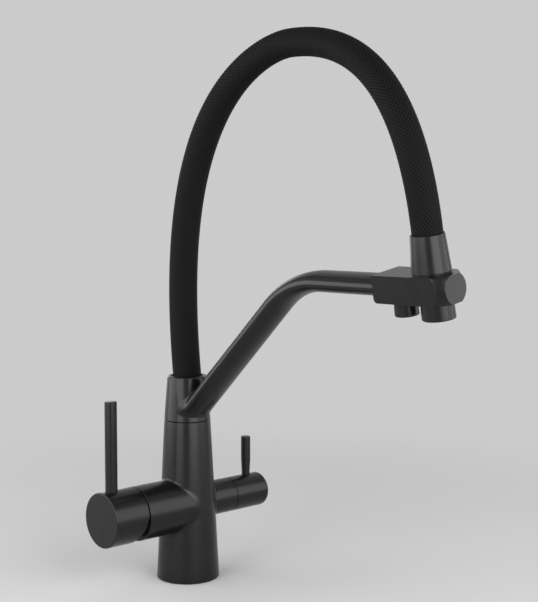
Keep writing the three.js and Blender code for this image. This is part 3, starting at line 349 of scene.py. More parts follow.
class Branch:
    """A round or oval branch that leaves a cone, with a blended corner between the two.

    It takes up a patch of the cone's mesh: spread columns to either side of centre, between two
    rows. blend gives the corner's reach at a height, and is None for a plain hole. guard is how
    far along a wide branch begins to count, so that it leaves the cone's far side alone."""

    def __init__(self, host, centre, spread, rows, origin, along, across, half, blend, guard=None):
        self.host, self.slope = host, host(0.0) - host(1.0)
        self.centre, self.spread, self.rows = centre, spread, rows
        self.origin, self.along, self.across = (
            np.array(v, float) for v in (origin, along, across))
        self.over = np.cross(self.along, self.across)
        self.half, self.blend, self.guard = half, blend, guard

    def at(self, angle, grow, reach):
        """Points round the branch: arrays of angle, distance outside it and reach along it."""
        angle, grow, reach = np.broadcast_arrays(angle, grow, reach)
        return (self.origin
                + self.across * ((self.half[0] + grow) * np.cos(angle))[..., None]
                + self.over * ((self.half[1] + grow) * np.sin(angle))[..., None]
                + self.along * reach[..., None])

    def leaves(self, angle):
        """How far along the branch a line of its surface leaves the cone."""
        low = np.zeros_like(angle)
        high = np.full_like(angle, 60.0)
        for _ in range(44):
            middle = (low + high) / 2
            p = self.at(angle, 0.0, middle)
            inside = np.hypot(p[:, 0], p[:, 1]) < self.host(p[:, 2])
            low = np.where(inside, middle, low)
            high = np.where(inside, high, middle)
        return low

    def distance(self, points):
        """The blended distance from the cone and the branch together."""
        x, y, z = points.T
        host = (np.hypot(x, y) - self.host(z)) * math.cos(math.atan(self.slope))
        away = points - self.origin
        u, v = away @ self.across, away @ self.over
        a, b = self.half
        ratio = np.maximum(np.hypot(u / a, v / b), 1e-6)
        limb = ratio * (ratio - 1) / np.maximum(np.hypot(u / a**2, v / b**2), 1e-6)
        if self.guard is not None:
            limb = limb + 0.5 * np.maximum(0, self.guard - away @ self.along)
        k = self.blend(z)
        near = np.maximum(k - np.abs(host - limb), 0) / k
        return np.minimum(host, limb) - near * near * k / 4

    def evened(self, angle, start):
        """The rings from the blended corner to one that is level, at a reach of start."""
        return [self.at(angle, 0.0, self.left + (start - self.left) * s)
                for s in (0.2, 0.45, 0.72, 1)]

    def settle(self, points):
        """Moves points to the blended surface."""
        step = 1e-3
        for _ in range(6):
            f = self.distance(points)
            rises = [self.distance(points + step * axis) - self.distance(points - step * axis)
                     for axis in np.eye(3)]
            slope = np.stack(rises, 1) / (2 * step)
            points = points - (f / np.maximum((slope**2).sum(1), 1e-6))[:, None] * slope
        return points

    def turn_of(self, points):
        """How far round the host points lie from the branch's middle."""
        turn = np.arctan2(points[:, 1], points[:, 0]) - self.centre
        return (turn + math.pi) % (2 * math.pi) - math.pi

    def unrolled(self, edge):
        """The branch angle that each point of the patch's edge goes to: the patch is laid flat as
        a rectangle and its edge is swept round once."""
        low, high = edge[:, 2].min(), edge[:, 2].max()
        level = (edge[:, 2] - (low + high) / 2) / ((high - low) / 2)
        turn = self.turn_of(edge) / (self.spread * 2 * math.pi / COLUMNS)
        tangent = (-math.sin(self.centre), math.cos(self.centre), 0)
        hand = math.copysign(1, np.dot(tangent, self.across))
        return np.arctan2(math.copysign(1, self.over[2]) * level, hand * turn)


COLUMNS = 128  # of the mesh round the column and the collar


def casting(name, rows, branches, limbs):
    """A turned body with branches: rows of (radius, height), and for each branch the function
    that gives the rings beyond its corner."""
    points, grid = turned_rings(rows, COLUMNS)
    removed = set()
    loops = []
    for branch in branches:
        middle = round(branch.centre / (2 * math.pi) * COLUMNS)
        first, last = middle - branch.spread, middle + branch.spread
        low, high = branch.rows
        for i in range(low, high):
            removed.update((i, j % COLUMNS) for j in range(first, last))
        edge = [(low, j) for j in range(first, last)] + [(i, last) for i in range(low, high)]
        edge += [(high, j) for j in range(last, first, -1)]
        edge += [(i, first) for i in range(high, low, -1)]
        loops.append([grid[i][j % COLUMNS] for i, j in edge])
    faces = []
    for i, (lower, upper) in enumerate(zip(grid, grid[1:])):
        for j in range(COLUMNS):
            if (i, j) not in removed:
                nxt = (j + 1) % COLUMNS
                add_face(faces, [lower[j], lower[nxt], upper[nxt], upper[j]])
    for branch, loop, limb in zip(branches, loops, limbs):
        edge = np.array([points[i] for i in loop])
        angle = branch.unrolled(edge)
        order = np.argsort(angle)
        loop = [loop[i] for i in order]
        edge, angle = edge[order], angle[order]
        ring = loop
        for fresh in branch_rings(branch, edge, angle) + limb(branch, angle):
            start = len(points)
            points.extend(fresh)
            count = len(loop)
            onward = list(range(start, start + count)) if len(fresh) > 1 else [start] * count
            strip(faces, ring, onward)
            ring = onward
    return piece(name, points, faces)


def branch_rings(branch, edge, angle):
    """The rings from a hole's edge on the cone to the corner, and a little way up the branch."""
    if branch.blend is None:
        return hole_rings(branch, edge, angle)
    reach = branch.leaves(angle)
    corner = branch.at(angle, 0.0, reach)
    k = branch.blend(corner[:, 2])
    edge_turn, corner_turn = branch.turn_of(edge), branch.turn_of(corner)
    length = np.linalg.norm(edge - corner, axis=1)
    count = 15
    power = np.maximum(np.log(0.25 * k / length) / math.log(1 / count), 1.0)
    rings = []
    for step in range(count - 1, -1, -1):
        s = (step / count) ** power
        z = corner[:, 2] + (edge[:, 2] - corner[:, 2]) * s
        a = branch.centre + corner_turn + (edge_turn - corner_turn) * s
        r = branch.host(z)
        rings.append(branch.settle(np.stack([r * np.cos(a), r * np.sin(a), z], 1)))
    for far in (0.3, 0.6, 0.9, 1.35, 2):
        rings.append(branch.settle(branch.at(angle, 0.0, reach + far * k)))
    branch.left = reach + 2 * k
    return rings


def hole_rings(branch, edge, angle):
    """The rings from a hole's edge in the grid to a round hole's rim on the cone."""
    reach = branch.leaves(angle)
    rim = branch.at(angle, 0.0, reach)
    rings = []
    for s in (0.66, 0.33, 0.1, 0):
        p = rim + (edge - rim) * s
        scale = branch.host(p[:, 2]) / np.hypot(p[:, 0], p[:, 1])
        rings.append(np.stack([p[:, 0] * scale, p[:, 1] * scale, p[:, 2]], 1))
    return rings


def limb_of(start, profile):
    """A round branch's limb: rings to a level start, then a profile of (radius, reach)."""

    def rings(branch, angle):
        """The limb's rings at the angles of the corner's mesh."""
        made = [] if start is None else branch.evened(angle, start)
        for r, reach in profile:
            if r < 1e-9:
                made.append([branch.origin + branch.along * reach])
            else:
                made.append(branch.at(angle, r - branch.half[0], reach))
        return made

    return rings


def column_casting():
    """The column with its two bosses, the retaining screw's hole behind and its bores."""
    inner, outer, depth = SEAL_INNER - FIT_GAP, SEAL_OUTER + FIT_GAP, SEAL_THICKNESS + FIT_GAP
    under = [(0, 0), (5.4, 0), (inner, 0), (inner, depth), (outer, depth), (outer, 0), (24.0, 0)]
    foot = [(24.35, 0.05), (24.62, 0.2), (24.8, 0.45), (cone(0.85), 0.85)]
    spaced = [HANDLE_HEIGHT + GRID_STEP * k for k in range(-15, 9)]
    screw_low, screw_high = SCREW_HEIGHT - 5, SCREW_HEIGHT + 5
    upper = list(np.linspace(spaced[-1], screw_low, 7)[1:])
    upper += list(np.linspace(screw_low, screw_high, 5)[1:]) + [122.6, 126.4]
    side = [(cone(z), z) for z in spaced + upper]
    top = COLUMN_TOP
    head = [(cone(top) - 0.06, top - 0.2), (cone(top) - 0.25, top - 0.04), (cone(top) - 0.5, top)]
    bore = [(SWIVEL_BORE, top), (SWIVEL_BORE, SWIVEL_FLOOR), (0, SWIVEL_FLOOR)]
    rows = under + foot + side + head + bore
    heights = [round(z, 4) for _, z in rows]

    def row(z):
        """The row of the mesh at a height."""
        return heights.index(round(z, 4))

    def boss(side, radius, spread, steps, guard=None):
        """The branch to one side that carries a handle."""
        span = row(HANDLE_HEIGHT - steps * GRID_STEP), row(HANDLE_HEIGHT + steps * GRID_STEP)
        return Branch(
            cone, math.pi if side < 0 else 0.0, spread, span,
            (0, 0, HANDLE_HEIGHT), (side, 0, 0), (0, 1, 0), (radius, radius),
            lambda z: np.full_like(z, BOSS_BLEND), guard,
        )

    screw = Branch(
        cone, math.pi / 2, 5, (row(screw_low), row(screw_high)),
        (0, 0, SCREW_HEIGHT), (0, 1, 0), (1, 0, 0), (SCREW_HOLE, SCREW_HOLE), None,
    )
    r, end, inside = MIXER_RADIUS, MIXER_BOSS_END, CARTRIDGE_BORE
    mixer_limb = limb_of(30.0, [
        (r, 36), (r, 42), (r, 47), (r, end - 0.8), (r - 0.04, end - 0.5), (r - 0.18, end - 0.23),
        (r - 0.42, end - 0.06), (r - 0.75, end), (inside + 0.3, end),
        (inside + 0.08, end - 0.08), (inside, end - 0.3), (inside, CARTRIDGE_FLOOR),
        (0, CARTRIDGE_FLOOR)])
    r, end = FILTER_RADIUS, FILTER_BOSS_END
    filter_limb = limb_of(24.0, [
        (r, 28), (r, 33), (r, 38), (r, end - 0.4), (r - 0.05, end - 0.15), (r - 0.3, end),
        (HEADWORK_BORE, end), (HEADWORK_BORE, HEADWORK_FLOOR), (0, HEADWORK_FLOOR)])
    screw_limb = limb_of(None, [(SCREW_HOLE, 17.6), (SCREW_HOLE, SCREW_FLOOR), (0, SCREW_FLOOR)])
    made = casting(
        "column_casting", rows,
        [boss(-1, MIXER_RADIUS, 36, 8, guard=5.0), boss(1, FILTER_RADIUS, 22, 6), screw],
        [mixer_limb, filter_limb, screw_limb],
    )
    for angles, circle, radius, deep in BASE_HOLES:
        for angle in angles:
            turn = math.radians(angle)
            spot = (circle * math.cos(turn), circle * math.sin(turn), 0)
            cut(made, rod(radius, -2, deep, Matrix.Translation(spot)))
    return settle(made)


def arm_rings(branch, angle):
    """The arm beyond its corner: up the incline, round the bend and level into the block. The
    oval rolls over the bend, so that it meets the block square."""
    turn = ARM_INCLINE
    rise = ARM_HEIGHT - ARM_ROOT
    tangent = ARM_BEND * math.tan(turn / 2)
    straight = rise / math.sin(turn) - tangent
    bend_end = rise / math.tan(turn) + tangent
    across, upward = np.array([1.0, 0.0, 0.0]), np.array([0.0, 0.0, 1.0])

    def ring(centre, over, half, roll=0.0):
        """One oval section, rolled about the arm's own line."""
        side = across * math.cos(roll) + over * math.sin(roll)
        top = over * math.cos(roll) - across * math.sin(roll)
        return (centre + np.outer(half[0] * np.cos(angle), side)
                + np.outer(half[1] * np.sin(angle), top))

    flat = float(branch.left.max()) + 5
    made = branch.evened(angle, flat)
    for s in np.linspace(0, 1, 12)[1:]:
        half = ARM_ROOT_HALF + (ARM_BEND_HALF - ARM_ROOT_HALF) * s
        centre = branch.origin + branch.along * (flat + (straight - flat) * s)
        made.append(ring(centre, branch.over, half))
    for s in np.linspace(0, 1, 23)[1:]:
        half = ARM_BEND_HALF + (ARM_END_HALF - ARM_BEND_HALF) * s
        left = turn * (1 - s)
        centre = np.array([0, -(bend_end - ARM_BEND * math.sin(left)),
                           ARM_HEIGHT - ARM_BEND * (1 - math.cos(left))])
        over = np.array([0, math.sin(left), math.cos(left)])
        made.append(ring(centre, over, half, BLOCK_ROLL * s))
    for reach in np.linspace(bend_end, BLOCK_REAR + 1, 8)[1:]:
        made.append(ring(np.array([0, -reach, ARM_HEIGHT]), upward, ARM_END_HALF, BLOCK_ROLL))
    made.append([np.array([0, -BLOCK_REAR - 1, ARM_HEIGHT])])
    return made


def spout_casting():
    """The turning collar and the arm that grows out of it, as one blended casting."""
    top = COLLAR_TOP - COLLAR_EDGE
    shoulder = collar(top) - COLLAR_EDGE
    foot = collar(COLLAR_FOOT)
    rows = [(SWIVEL_BORE, COLLAR_FOOT), (foot - 0.35, COLLAR_FOOT),
            (foot - 0.14, COLLAR_FOOT + 0.04), (foot - 0.03, COLLAR_FOOT + 0.18)]
    first = len(rows)
    side = list(np.linspace(*ARM_PATCH, 15))
    rows += [(collar(z), z) for z in side]
    for k in range(9):
        turn = math.pi / 2 * k / 8
        rows.append((shoulder + COLLAR_EDGE * math.cos(turn), top + COLLAR_EDGE * math.sin(turn)))
    rows += [(HOSE_BORE + 0.5, COLLAR_TOP), (HOSE_BORE + 0.15, COLLAR_TOP - 0.12),
             (HOSE_BORE, COLLAR_TOP - 0.5), (HOSE_BORE, 150), (HOSE_BORE, COLLAR_FLOOR),
             (WEB_BORE, COLLAR_FLOOR), (WEB_BORE, WEB_FOOT), (SWIVEL_BORE, WEB_FOOT)]

    def blend(z):
        """Tight at the joint line, widest a little above it, and tight again at the top."""
        rise = np.clip((z - 129.0) / 8.0, 0, 1)
        fall = np.clip((z - 137.0) / 10.0, 0, 1)
        wide = rise * rise * (3 - 2 * rise)
        return 0.55 + 3.7 * wide * (1 - 0.6 * fall * fall * (3 - 2 * fall))

    arm = Branch(
        collar, -math.pi / 2, 30, (first, first + len(side) - 1), (0, 0, ARM_ROOT),
        (0, -math.cos(ARM_INCLINE), math.sin(ARM_INCLINE)), (1, 0, 0), ARM_ROOT_HALF, blend,
    )
    return settle(casting("spout_casting", rows, [arm], [arm_rings]))


# ---------------- outlet block and its fittings


def outlet_block():
    """The square bar with a turned front end, its edges just broken."""
    half, high = BLOCK_HALF_WIDTH, BLOCK_HALF_HEIGHT
    outline = [(-BLOCK_FRONT, -high)]
    for k in range(9):
        turn = -math.pi / 2 + math.pi / 2 * k / 8
        outline.append((-BLOCK_REAR - REAR_ROUND + REAR_ROUND * math.cos(turn),
                        -high + REAR_ROUND + REAR_ROUND * math.sin(turn)))
    outline += [(-BLOCK_REAR, high), (-BLOCK_FRONT, high)]
    bar = prism("outlet_bar", [(-half, y, z) for y, z in outline],
                [(half, y, z) for y, z in outline], OUTLET)
    middle = ((TURNED_DISC + TURNED_RADIUS) / 2 + TURNED_BOW,
              BLOCK_FRONT - TURNED_LENGTH / 2 + TURNED_BOW)
    shoulder = []
    for k in range(1, 12):
        s = k / 12
        a, b, c = (1 - s) ** 2, 2 * s * (1 - s), s * s
        shoulder.append((a * TURNED_RADIUS + b * middle[0] + c * TURNED_DISC,
                         a * (BLOCK_FRONT - TURNED_LENGTH) + b * middle[1] + c * BLOCK_FRONT))
    lay = Matrix.Rotation(math.pi / 2, 4, "X")
    round_end = turned(
        "tool",
        [(0, BLOCK_REAR - 5), (TURNED_RADIUS, BLOCK_REAR - 5),
         (TURNED_RADIUS, BLOCK_FRONT - TURNED_LENGTH), *shoulder, (TURNED_DISC, BLOCK_FRONT),
         (0, BLOCK_FRONT)],
        OUTLET @ lay, 160,
    )
    cut(bar, round_end, operation="INTERSECT")
    return settle(bar, sharp=40, bevel=0.35)


def seat(reach):
    """The frame on the block's axis at a reach from the column, upright to the block."""
    return OUTLET @ Matrix.Translation((0, -reach, 0))


def ferrule():
    """The tapered ring nut that clamps the braid's end to the block."""
    low, foot, top = BLOCK_HALF_HEIGHT + 0.05, FERRULE_BOTTOM, FERRULE_TOP
    return settle(turned(
        "hose_ferrule",
        [(FERRULE_WEB_BORE, low), (12.3, low), (12.3, foot), (13.1, foot, 0.25),
         (FERRULE_BOTTOM_RADIUS, foot + 0.6), (FERRULE_TOP_RADIUS, top, 0.5),
         (FERRULE_BORE, top, 0.25), (FERRULE_BORE, foot + 1.2), (FERRULE_WEB_BORE, foot + 1.2)],
        seat(HOSE_SEAT)))


def nozzle(name, outlet):
    """An outlet below the block, a little wider toward its foot, with an open pocket."""
    reach, drop, radius, pocket, stub, _ = outlet
    foot, top, floor, inner = -drop, -BLOCK_HALF_HEIGHT - 0.05, 8.3 - drop, stub - 1.8
    return settle(turned(
        name,
        [(pocket, foot + 0.15), (pocket + 0.3, foot), (radius - 0.4, foot, 0.2),
         (radius, foot + 0.55, 0.35), (radius - 0.32, top), (stub, top), (stub, -4.0),
         (inner, -4.0), (inner, floor), (pocket, floor)],
        seat(reach)))


def honeycomb(name, outlet):
    """The straightener in an outlet: a cup with a rim, and a honeycomb of thin walls in it."""
    foot = -outlet.drop + 0.6
    outer = outlet.pocket - FIT_GAP
    rim = outer - 0.9
    depth = 1.6
    cell = outlet.cell
    wide = cell / math.sqrt(3)
    narrow = wide - cell * 0.16
    points, faces = [], []
    reachable = int(rim / cell) + 2
    for q in range(-reachable, reachable + 1):
        for r in range(-reachable, reachable + 1):
            x = cell * (q + r / 2)
            y = cell * r * math.sqrt(3) / 2
            if math.hypot(x, y) > rim - 0.1:
                continue
            rings = []
            for radius, z in ((wide, foot), (narrow, foot), (narrow, foot + depth),
                              (wide, foot + depth)):
                rings.append(range(len(points), len(points) + 6))
                for k in range(6):
                    turn = math.pi / 6 + k * math.pi / 3
                    points.append((x + radius * math.cos(turn), y + radius * math.sin(turn), z))
            for level in range(4):
                strip(faces, rings[(level + 1) % 4], rings[level])
    comb = piece(name + "_comb", points, faces, seat(outlet.reach))
    sharpen(comb, 30)
    floor = foot + depth + 0.3
    cup = turned(
        name,
        [(0, floor), (rim, floor), (rim, foot), (outer, foot, 0.25), (outer, foot + 6.2),
         (0, foot + 6.2)],
        seat(outlet.reach), 64)
    return settle(cup), comb


# ---------------- hose


def hose_route():
    """The hose's centre line in small steps, and how far along it each lies: up out of the
    collar, over the crown and down into the block."""
    up = np.array([-math.sin(BLOCK_ROLL), 0, math.cos(BLOCK_ROLL)])
    base = np.array([0, -HOSE_SEAT, ARM_HEIGHT])
    lean = np.array([0, math.sin(HOSE_LEAN), math.cos(HOSE_LEAN)])
    leaves, crown, mouth = np.array([0, 0, COLLAR_TOP]), np.array(CROWN), base + up * FERRULE_TOP
    spans = [
        (leaves, leaves + lean * ROOT_HANDLE, crown + (0, CROWN_BACK, 0), crown),
        (crown, crown - (0, CROWN_FRONT, 0), mouth + up * END_HANDLE, mouth),
    ]
    line = [np.array([0, 0, z]) for z in np.linspace(SLEEVE_FOOT, COLLAR_TOP, 40)[:-1]]
    for a, b, c, d in spans:
        for t in np.linspace(0, 1, 900)[:-1]:
            line.append((1 - t) ** 3 * a + 3 * t * (1 - t) ** 2 * b
                        + 3 * t * t * (1 - t) * c + t**3 * d)
    for s in np.linspace(FERRULE_TOP, SLEEVE_END, 40):
        line.append(base + up * s)
    line = np.array(line)
    far = np.concatenate([[0], np.cumsum(np.linalg.norm(np.diff(line, axis=0), axis=1))])
    return line, far


def braided_sleeve():
    """The woven sleeve. Its mesh follows the strands: each crossing is a raised diamond."""
    line, far = hose_route()
    length = far[-1]
    cell = 2 * math.pi * HOSE_RADIUS / STRANDS
    rows = int(length / cell * 4)
    rows -= rows % 2
    stations = np.linspace(0, length, rows + 1)
    drawn = np.clip((stations - HOSE_DRAW[0]) / (HOSE_DRAW[1] - HOSE_DRAW[0]), 0, 1)
    outer = HOSE_RADIUS + (HOSE_END_RADIUS - HOSE_RADIUS) * drawn**2 * (3 - 2 * drawn)
    centre = np.stack([np.interp(stations, far, line[:, k]) for k in range(3)], 1)
    tangent = np.gradient(centre, axis=0)
    tangent /= np.linalg.norm(tangent, axis=1)[:, None]
    normal = np.zeros_like(centre)
    normal[0] = (1, 0, 0)
    for i in range(1, rows + 1):
        side = normal[i - 1] - tangent[i] * (normal[i - 1] @ tangent[i])
        normal[i] = side / np.linalg.norm(side)
    binormal = np.cross(tangent, normal)
    around = 2 * STRANDS

    def spot(m, radius, turn):
        """A point round the centre line at row m."""
        return centre[m] + radius * (math.cos(turn) * normal[m] + math.sin(turn) * binormal[m])

    points = []
    for m in range(rows + 1):
        for s in range(around):
            # p and q count half strands of each hand: both are odd on top of a crossing
            total = 2 * s + m % 2
            p, q = (total + m) // 2, (total - m) // 2
            lift = (0.0, 0.58, 1.0)[p % 2 + q % 2]
            points.append(spot(m, outer[m] - BRAID_RELIEF * (0.78 - lift),
                               math.pi * total / around))
    faces, marks = [], []

    def weave(*corners):
        """Adds a face between corners (row, number), marked with their place in the weave."""
        faces.append([m * around + s % around for m, s in corners])
        marks.extend(((2 * s + m % 2) / 4, m / 4) for m, s in corners)

    for m in range(1, rows):
        for s in range(around):
            beside = s + m % 2
            weave((m - 1, beside), (m, s + 1), (m + 1, beside), (m, s))
    for s in range(around):
        weave((0, s), (0, s + 1), (1, s))
        weave((rows - 1, s), (rows, s + 1), (rows, s))
    # the wall: from the first row round its end, along the inside, and back to the last row
    rings = [0]
    for m in [*range(0, rows, 8), rows]:
        rings.append(len(points))
        points.extend(spot(m, outer[m] - HOSE_WALL, 2 * math.pi * s / around)
                      for s in range(around))
    for a, b in zip(rings, [*rings[1:], rows * around]):
        strip(faces, range(b, b + around), range(a, a + around))
        marks.extend([(0.0, 0.0)] * 4 * around)
    made = piece("hose_braid", points, faces)
    layer = made.data.uv_layers.new(name="strands")
    layer.data.foreach_set("uv", np.array(marks, np.float32).ravel())
    return made


# ---------------- handles


def cover_ring():
    """The dark ring over the cartridge, in the gap behind the mixer hub."""
    foot, step, top = MIXER_BOSS_END, MIXER_BOSS_END + 0.6, MIXER_BOSS_END + 3.5
    return settle(turned(
        "cartridge_ring",
        [(14.7, foot), (17.4, foot, 0.15), (17.4, step, 0.2), (16.6, step, 0.15),
         (16.6, top, 1.6), (12.7, top, 0.3), (12.7, top - 0.9), (14.7, top - 0.9)],
        MIXER))


def mixer_hub():
    """The mixer handle's hub, cut back below so that it can tilt."""
    r, bore, foot, end = MIXER_RADIUS, MIXER_HUB_BORE, MIXER_HUB_FOOT, MIXER_HUB_END
    hub = turned(
        "mixer_hub",
        [(bore, foot, 0.25), (r, foot, 0.5), (r, end, 0.8), (0, end), (0, MIXER_HUB_FLOOR),
         (bore, MIXER_HUB_FLOOR)],
        MIXER, 128)
    drop = 30.0
    outline = [(RELIEF_HEIGHT, foot - 3), (RELIEF_HEIGHT, foot),
               (RELIEF_HEIGHT - drop, foot + drop * math.tan(MIXER_TILT)),
               (RELIEF_HEIGHT - drop, foot - 3)]
    relief = prism("tool", [(x, 40, z) for x, z in outline], [(x, -40, z) for x, z in outline],
                   MIXER)
    a = STEM_HALF
    square = [(-a, -a), (a, -a), (a, a), (-a, a)]
    socket = prism("tool", [(x, y, 64.0) for x, y in square], [(x, y, 77.8) for x, y in square],
                   MIXER)
    up = crosswise(MIXER, MIXER_LEVER_REACH)
    down = crosswise(MIXER, MIXER_SCREW_REACH, down=True)
    cut(hub, relief, socket, rod(MIXER_LEVER_RADIUS + 0.2, r - LEVER_SEAT, 24, up),
        rod(3.5, 13, 24, up, 32), rod(SCREW_HOLE_RADIUS, 3, 24, down, 32))
    return settle(hub, sharp=30)


def filter_hub():
    """The filter handle's hub, with a well rounded end."""
    r, bore, foot, end = FILTER_RADIUS, FILTER_HUB_BORE, FILTER_HUB_FOOT, FILTER_HUB_END
    hub = turned(
        "filter_hub",
        [(bore, foot), (r, foot, 0.35), (r, end, 2.75), (0, end), (0, FILTER_HUB_FLOOR),
         (bore, FILTER_HUB_FLOOR)],
        FILTER, 128)
    up = crosswise(FILTER, FILTER_LEVER_REACH)
    down = crosswise(FILTER, FILTER_SCREW_REACH, down=True)
    cut(hub, rod(4.2, 50, 67.8, FILTER), rod(3.5, r - LEVER_SEAT, 16, up, 32),
        rod(2.5, 5.9, 16, up, 32), rod(SCREW_HOLE_RADIUS, 3, 16, down, 32))
    return settle(hub, sharp=30)


def lever(name, place, reach, corners):
    """A turned rod that stands on a handle's hub."""
    return settle(turned(name, corners, crosswise(place, reach), 64))


def screw_plug(name, place, reach, hub_radius):
    """The soft plug that closes a grub screw's hole in the underside of a hub."""
    low, high = hub_radius - 1.9, hub_radius - 0.3
    return settle(turned(name, [(0, low), (2.0, low, 0.15), (2.0, high, 0.45), (0, high)],
                         crosswise(place, reach, down=True), 48))


def retaining_screw():
    """The socket screw behind the column that holds the spigot in."""
    place = Matrix.Translation((0, 0, SCREW_HEIGHT)) @ Matrix.Rotation(-math.pi / 2, 4, "X")
    r, tip, head = SCREW_RADIUS, SCREW_TIP, cone(SCREW_HEIGHT) - 1
    made = turned("retaining_screw", [(0, tip), (r, tip, 0.3), (r, head, 0.3), (0, head)],
                  place, 48)
    key = rod(1.15, head - 1.5, head + 1, place, 6)
    return settle(cut(made, key), sharp=28)


def base_seal():
    """The soft ring let into the underside of the base."""
    corners = ((SEAL_INNER, 0), (SEAL_OUTER, 0), (SEAL_OUTER, SEAL_THICKNESS),
               (SEAL_INNER, SEAL_THICKNESS))
    return settle(turned("base_seal", [(r, z, 0.25) for r, z in corners]))


def mixer_lever():
    """The long plain rod of the mixer handle."""
    foot = MIXER_RADIUS - LEVER_SINK
    top = MIXER_LEVER_TOP - HANDLE_HEIGHT
    r = MIXER_LEVER_RADIUS
    return lever("mixer_rod", MIXER, MIXER_LEVER_REACH,
                 [(0, foot - 7), (3.2, foot - 7), (3.2, foot), (r, foot, 0.25), (r, top, 0.7),
                  (0, top)])


def filter_lever():
    """The short rod of the filter handle, drawn in toward its foot."""
    foot = FILTER_RADIUS - LEVER_SINK
    top = FILTER_LEVER_TOP - HANDLE_HEIGHT
    return lever("filter_rod", FILTER, FILTER_LEVER_REACH,
                 [(0, foot - 7), (2.2, foot - 7), (2.2, foot), (3.3, foot, 0.2), (3.32, foot + 2),
                  (3.9, foot + 14, 12), (3.9, top, 0.6), (0, top)])


# ---------------- finishes

BACKDROP = 0.60  # how pale the background is, and the floor far from the tap
SURROUND = 0.25  # how strongly the surround lights the tap
FLOOR_COLOUR = 0.63
FADE_START = 0.24  # metres from the column where the floor begins to go over into the backdrop
FADE_LENGTH = 0.5


class Wire:
    """A socket's value. Python's operators go on from it, each adding one Math node."""

    def __init__(self, shade, socket):
        self.shade, self.socket = shade, socket

    def __add__(self, other):
        return self.apply("ADD", other)

    def __sub__(self, other):
        return self.apply("SUBTRACT", other)

    def __rsub__(self, other):
        return self.shade.math("SUBTRACT", other, self)

    def __mul__(self, other):
        return self.apply("MULTIPLY", other)

    def __truediv__(self, other):
        return self.apply("DIVIDE", other)

    def __pow__(self, other):
        return self.apply("POWER", other)

    __radd__, __rmul__ = __add__, __mul__

    def apply(self, operation, *others):
        """What a named Math operation makes of the value."""
        return self.shade.math(operation, self, *others)

    def also(self, output):
        """Another output of the same node."""
        return Wire(self.shade, self.socket.node.outputs[output])


class Shade:
    """The nodes of one material, or of the world."""

    def __init__(self, owner, surface="Principled BSDF"):
        owner.use_nodes = True
        self.owner = owner
        self.tree = owner.node_tree
        self.surface = self.tree.nodes[surface]

    def node(self, kind, settings=None, values=(), output=0):
        """Adds a node: its settings first, then the values or links of its sockets."""
        made = self.tree.nodes.new(kind)
        for name, value in (settings or {}).items():
            setattr(made, name, value)
        pairs = values.items() if isinstance(values, dict) else enumerate(values)
        for key, value in pairs:
            self.feed(made.inputs[key], value)
        return Wire(self, made.outputs[output])

    def math(self, operation, *values):
        """One Math node."""
        return self.node("ShaderNodeMath", {"operation": operation}, values)

    def feed(self, socket, value):
        """Links a wire to a socket, or sets the socket's own value."""
        if isinstance(value, Wire):
            self.tree.links.new(value.socket, socket)
        else:
            socket.default_value = value

    def place(self):
        """The point on the piece, in metres."""
        return self.node("ShaderNodeTexCoord", output=3)

    def noise(self, scale, detail=2.0, roughness=0.5, stretch=None):
        """Soft noise on the piece, from 0 to 1, with scale waves to the metre."""
        where = self.place()
        if stretch:
            where = self.node("ShaderNodeVectorMath", {"operation": "MULTIPLY"}, [where, stretch])
        return self.node("ShaderNodeTexNoise", values={
            "Vector": where, "Scale": scale, "Detail": detail, "Roughness": roughness})

    def blend(self, factor, first, second):
        """A colour between two, by a factor."""
        return self.node("ShaderNodeMix", {"data_type": "RGBA"},
                         {0: factor, 6: (*first, 1), 7: (*second, 1)}, output=2)

    def bump(self, height, distance, strength):
        """The surface's direction over a small relief, its depth in metres."""
        return self.node("ShaderNodeBump", values={
            "Height": height, "Distance": distance, "Strength": strength})

    def seen(self):
        """1 where the camera looks, straight, in a mirror or through glass, and 0 for light."""
        rays = self.node("ShaderNodeLightPath")
        looked = rays.apply("MAXIMUM", rays.also("Is Glossy Ray"))
        return looked.apply("MAXIMUM", rays.also("Is Transmission Ray"))

    def finish(self, **inputs):
        """Feeds the surface's sockets, a _ in a name for its space."""
        for name, value in inputs.items():
            self.feed(self.surface.inputs[name.replace("_", " ")], value)
        return self.owner


def material(name):
    """A fresh material's nodes."""
    return Shade(bpy.data.materials.new(name))


def black_coat():
    """Matt black powder coat: a fine grain, slightly uneven in gloss."""
    shade = material("black_coat")
    grain = shade.noise(2600.0, 3.0, 0.6)
    cloud = shade.noise(70.0, 2.0)
    colour = shade.blend(cloud * 0.7 + grain * 0.3, (0.003, 0.003, 0.0031), (0.006, 0.006, 0.0062))
    roughness = 0.21 + cloud * 0.05 + grain * 0.06
    return shade.finish(Base_Color=colour, Roughness=roughness, Specular_IOR_Level=0.27,
                        Normal=shade.bump(grain, 0.00003, 0.4))


THREADS = 4  # side by side in a strand


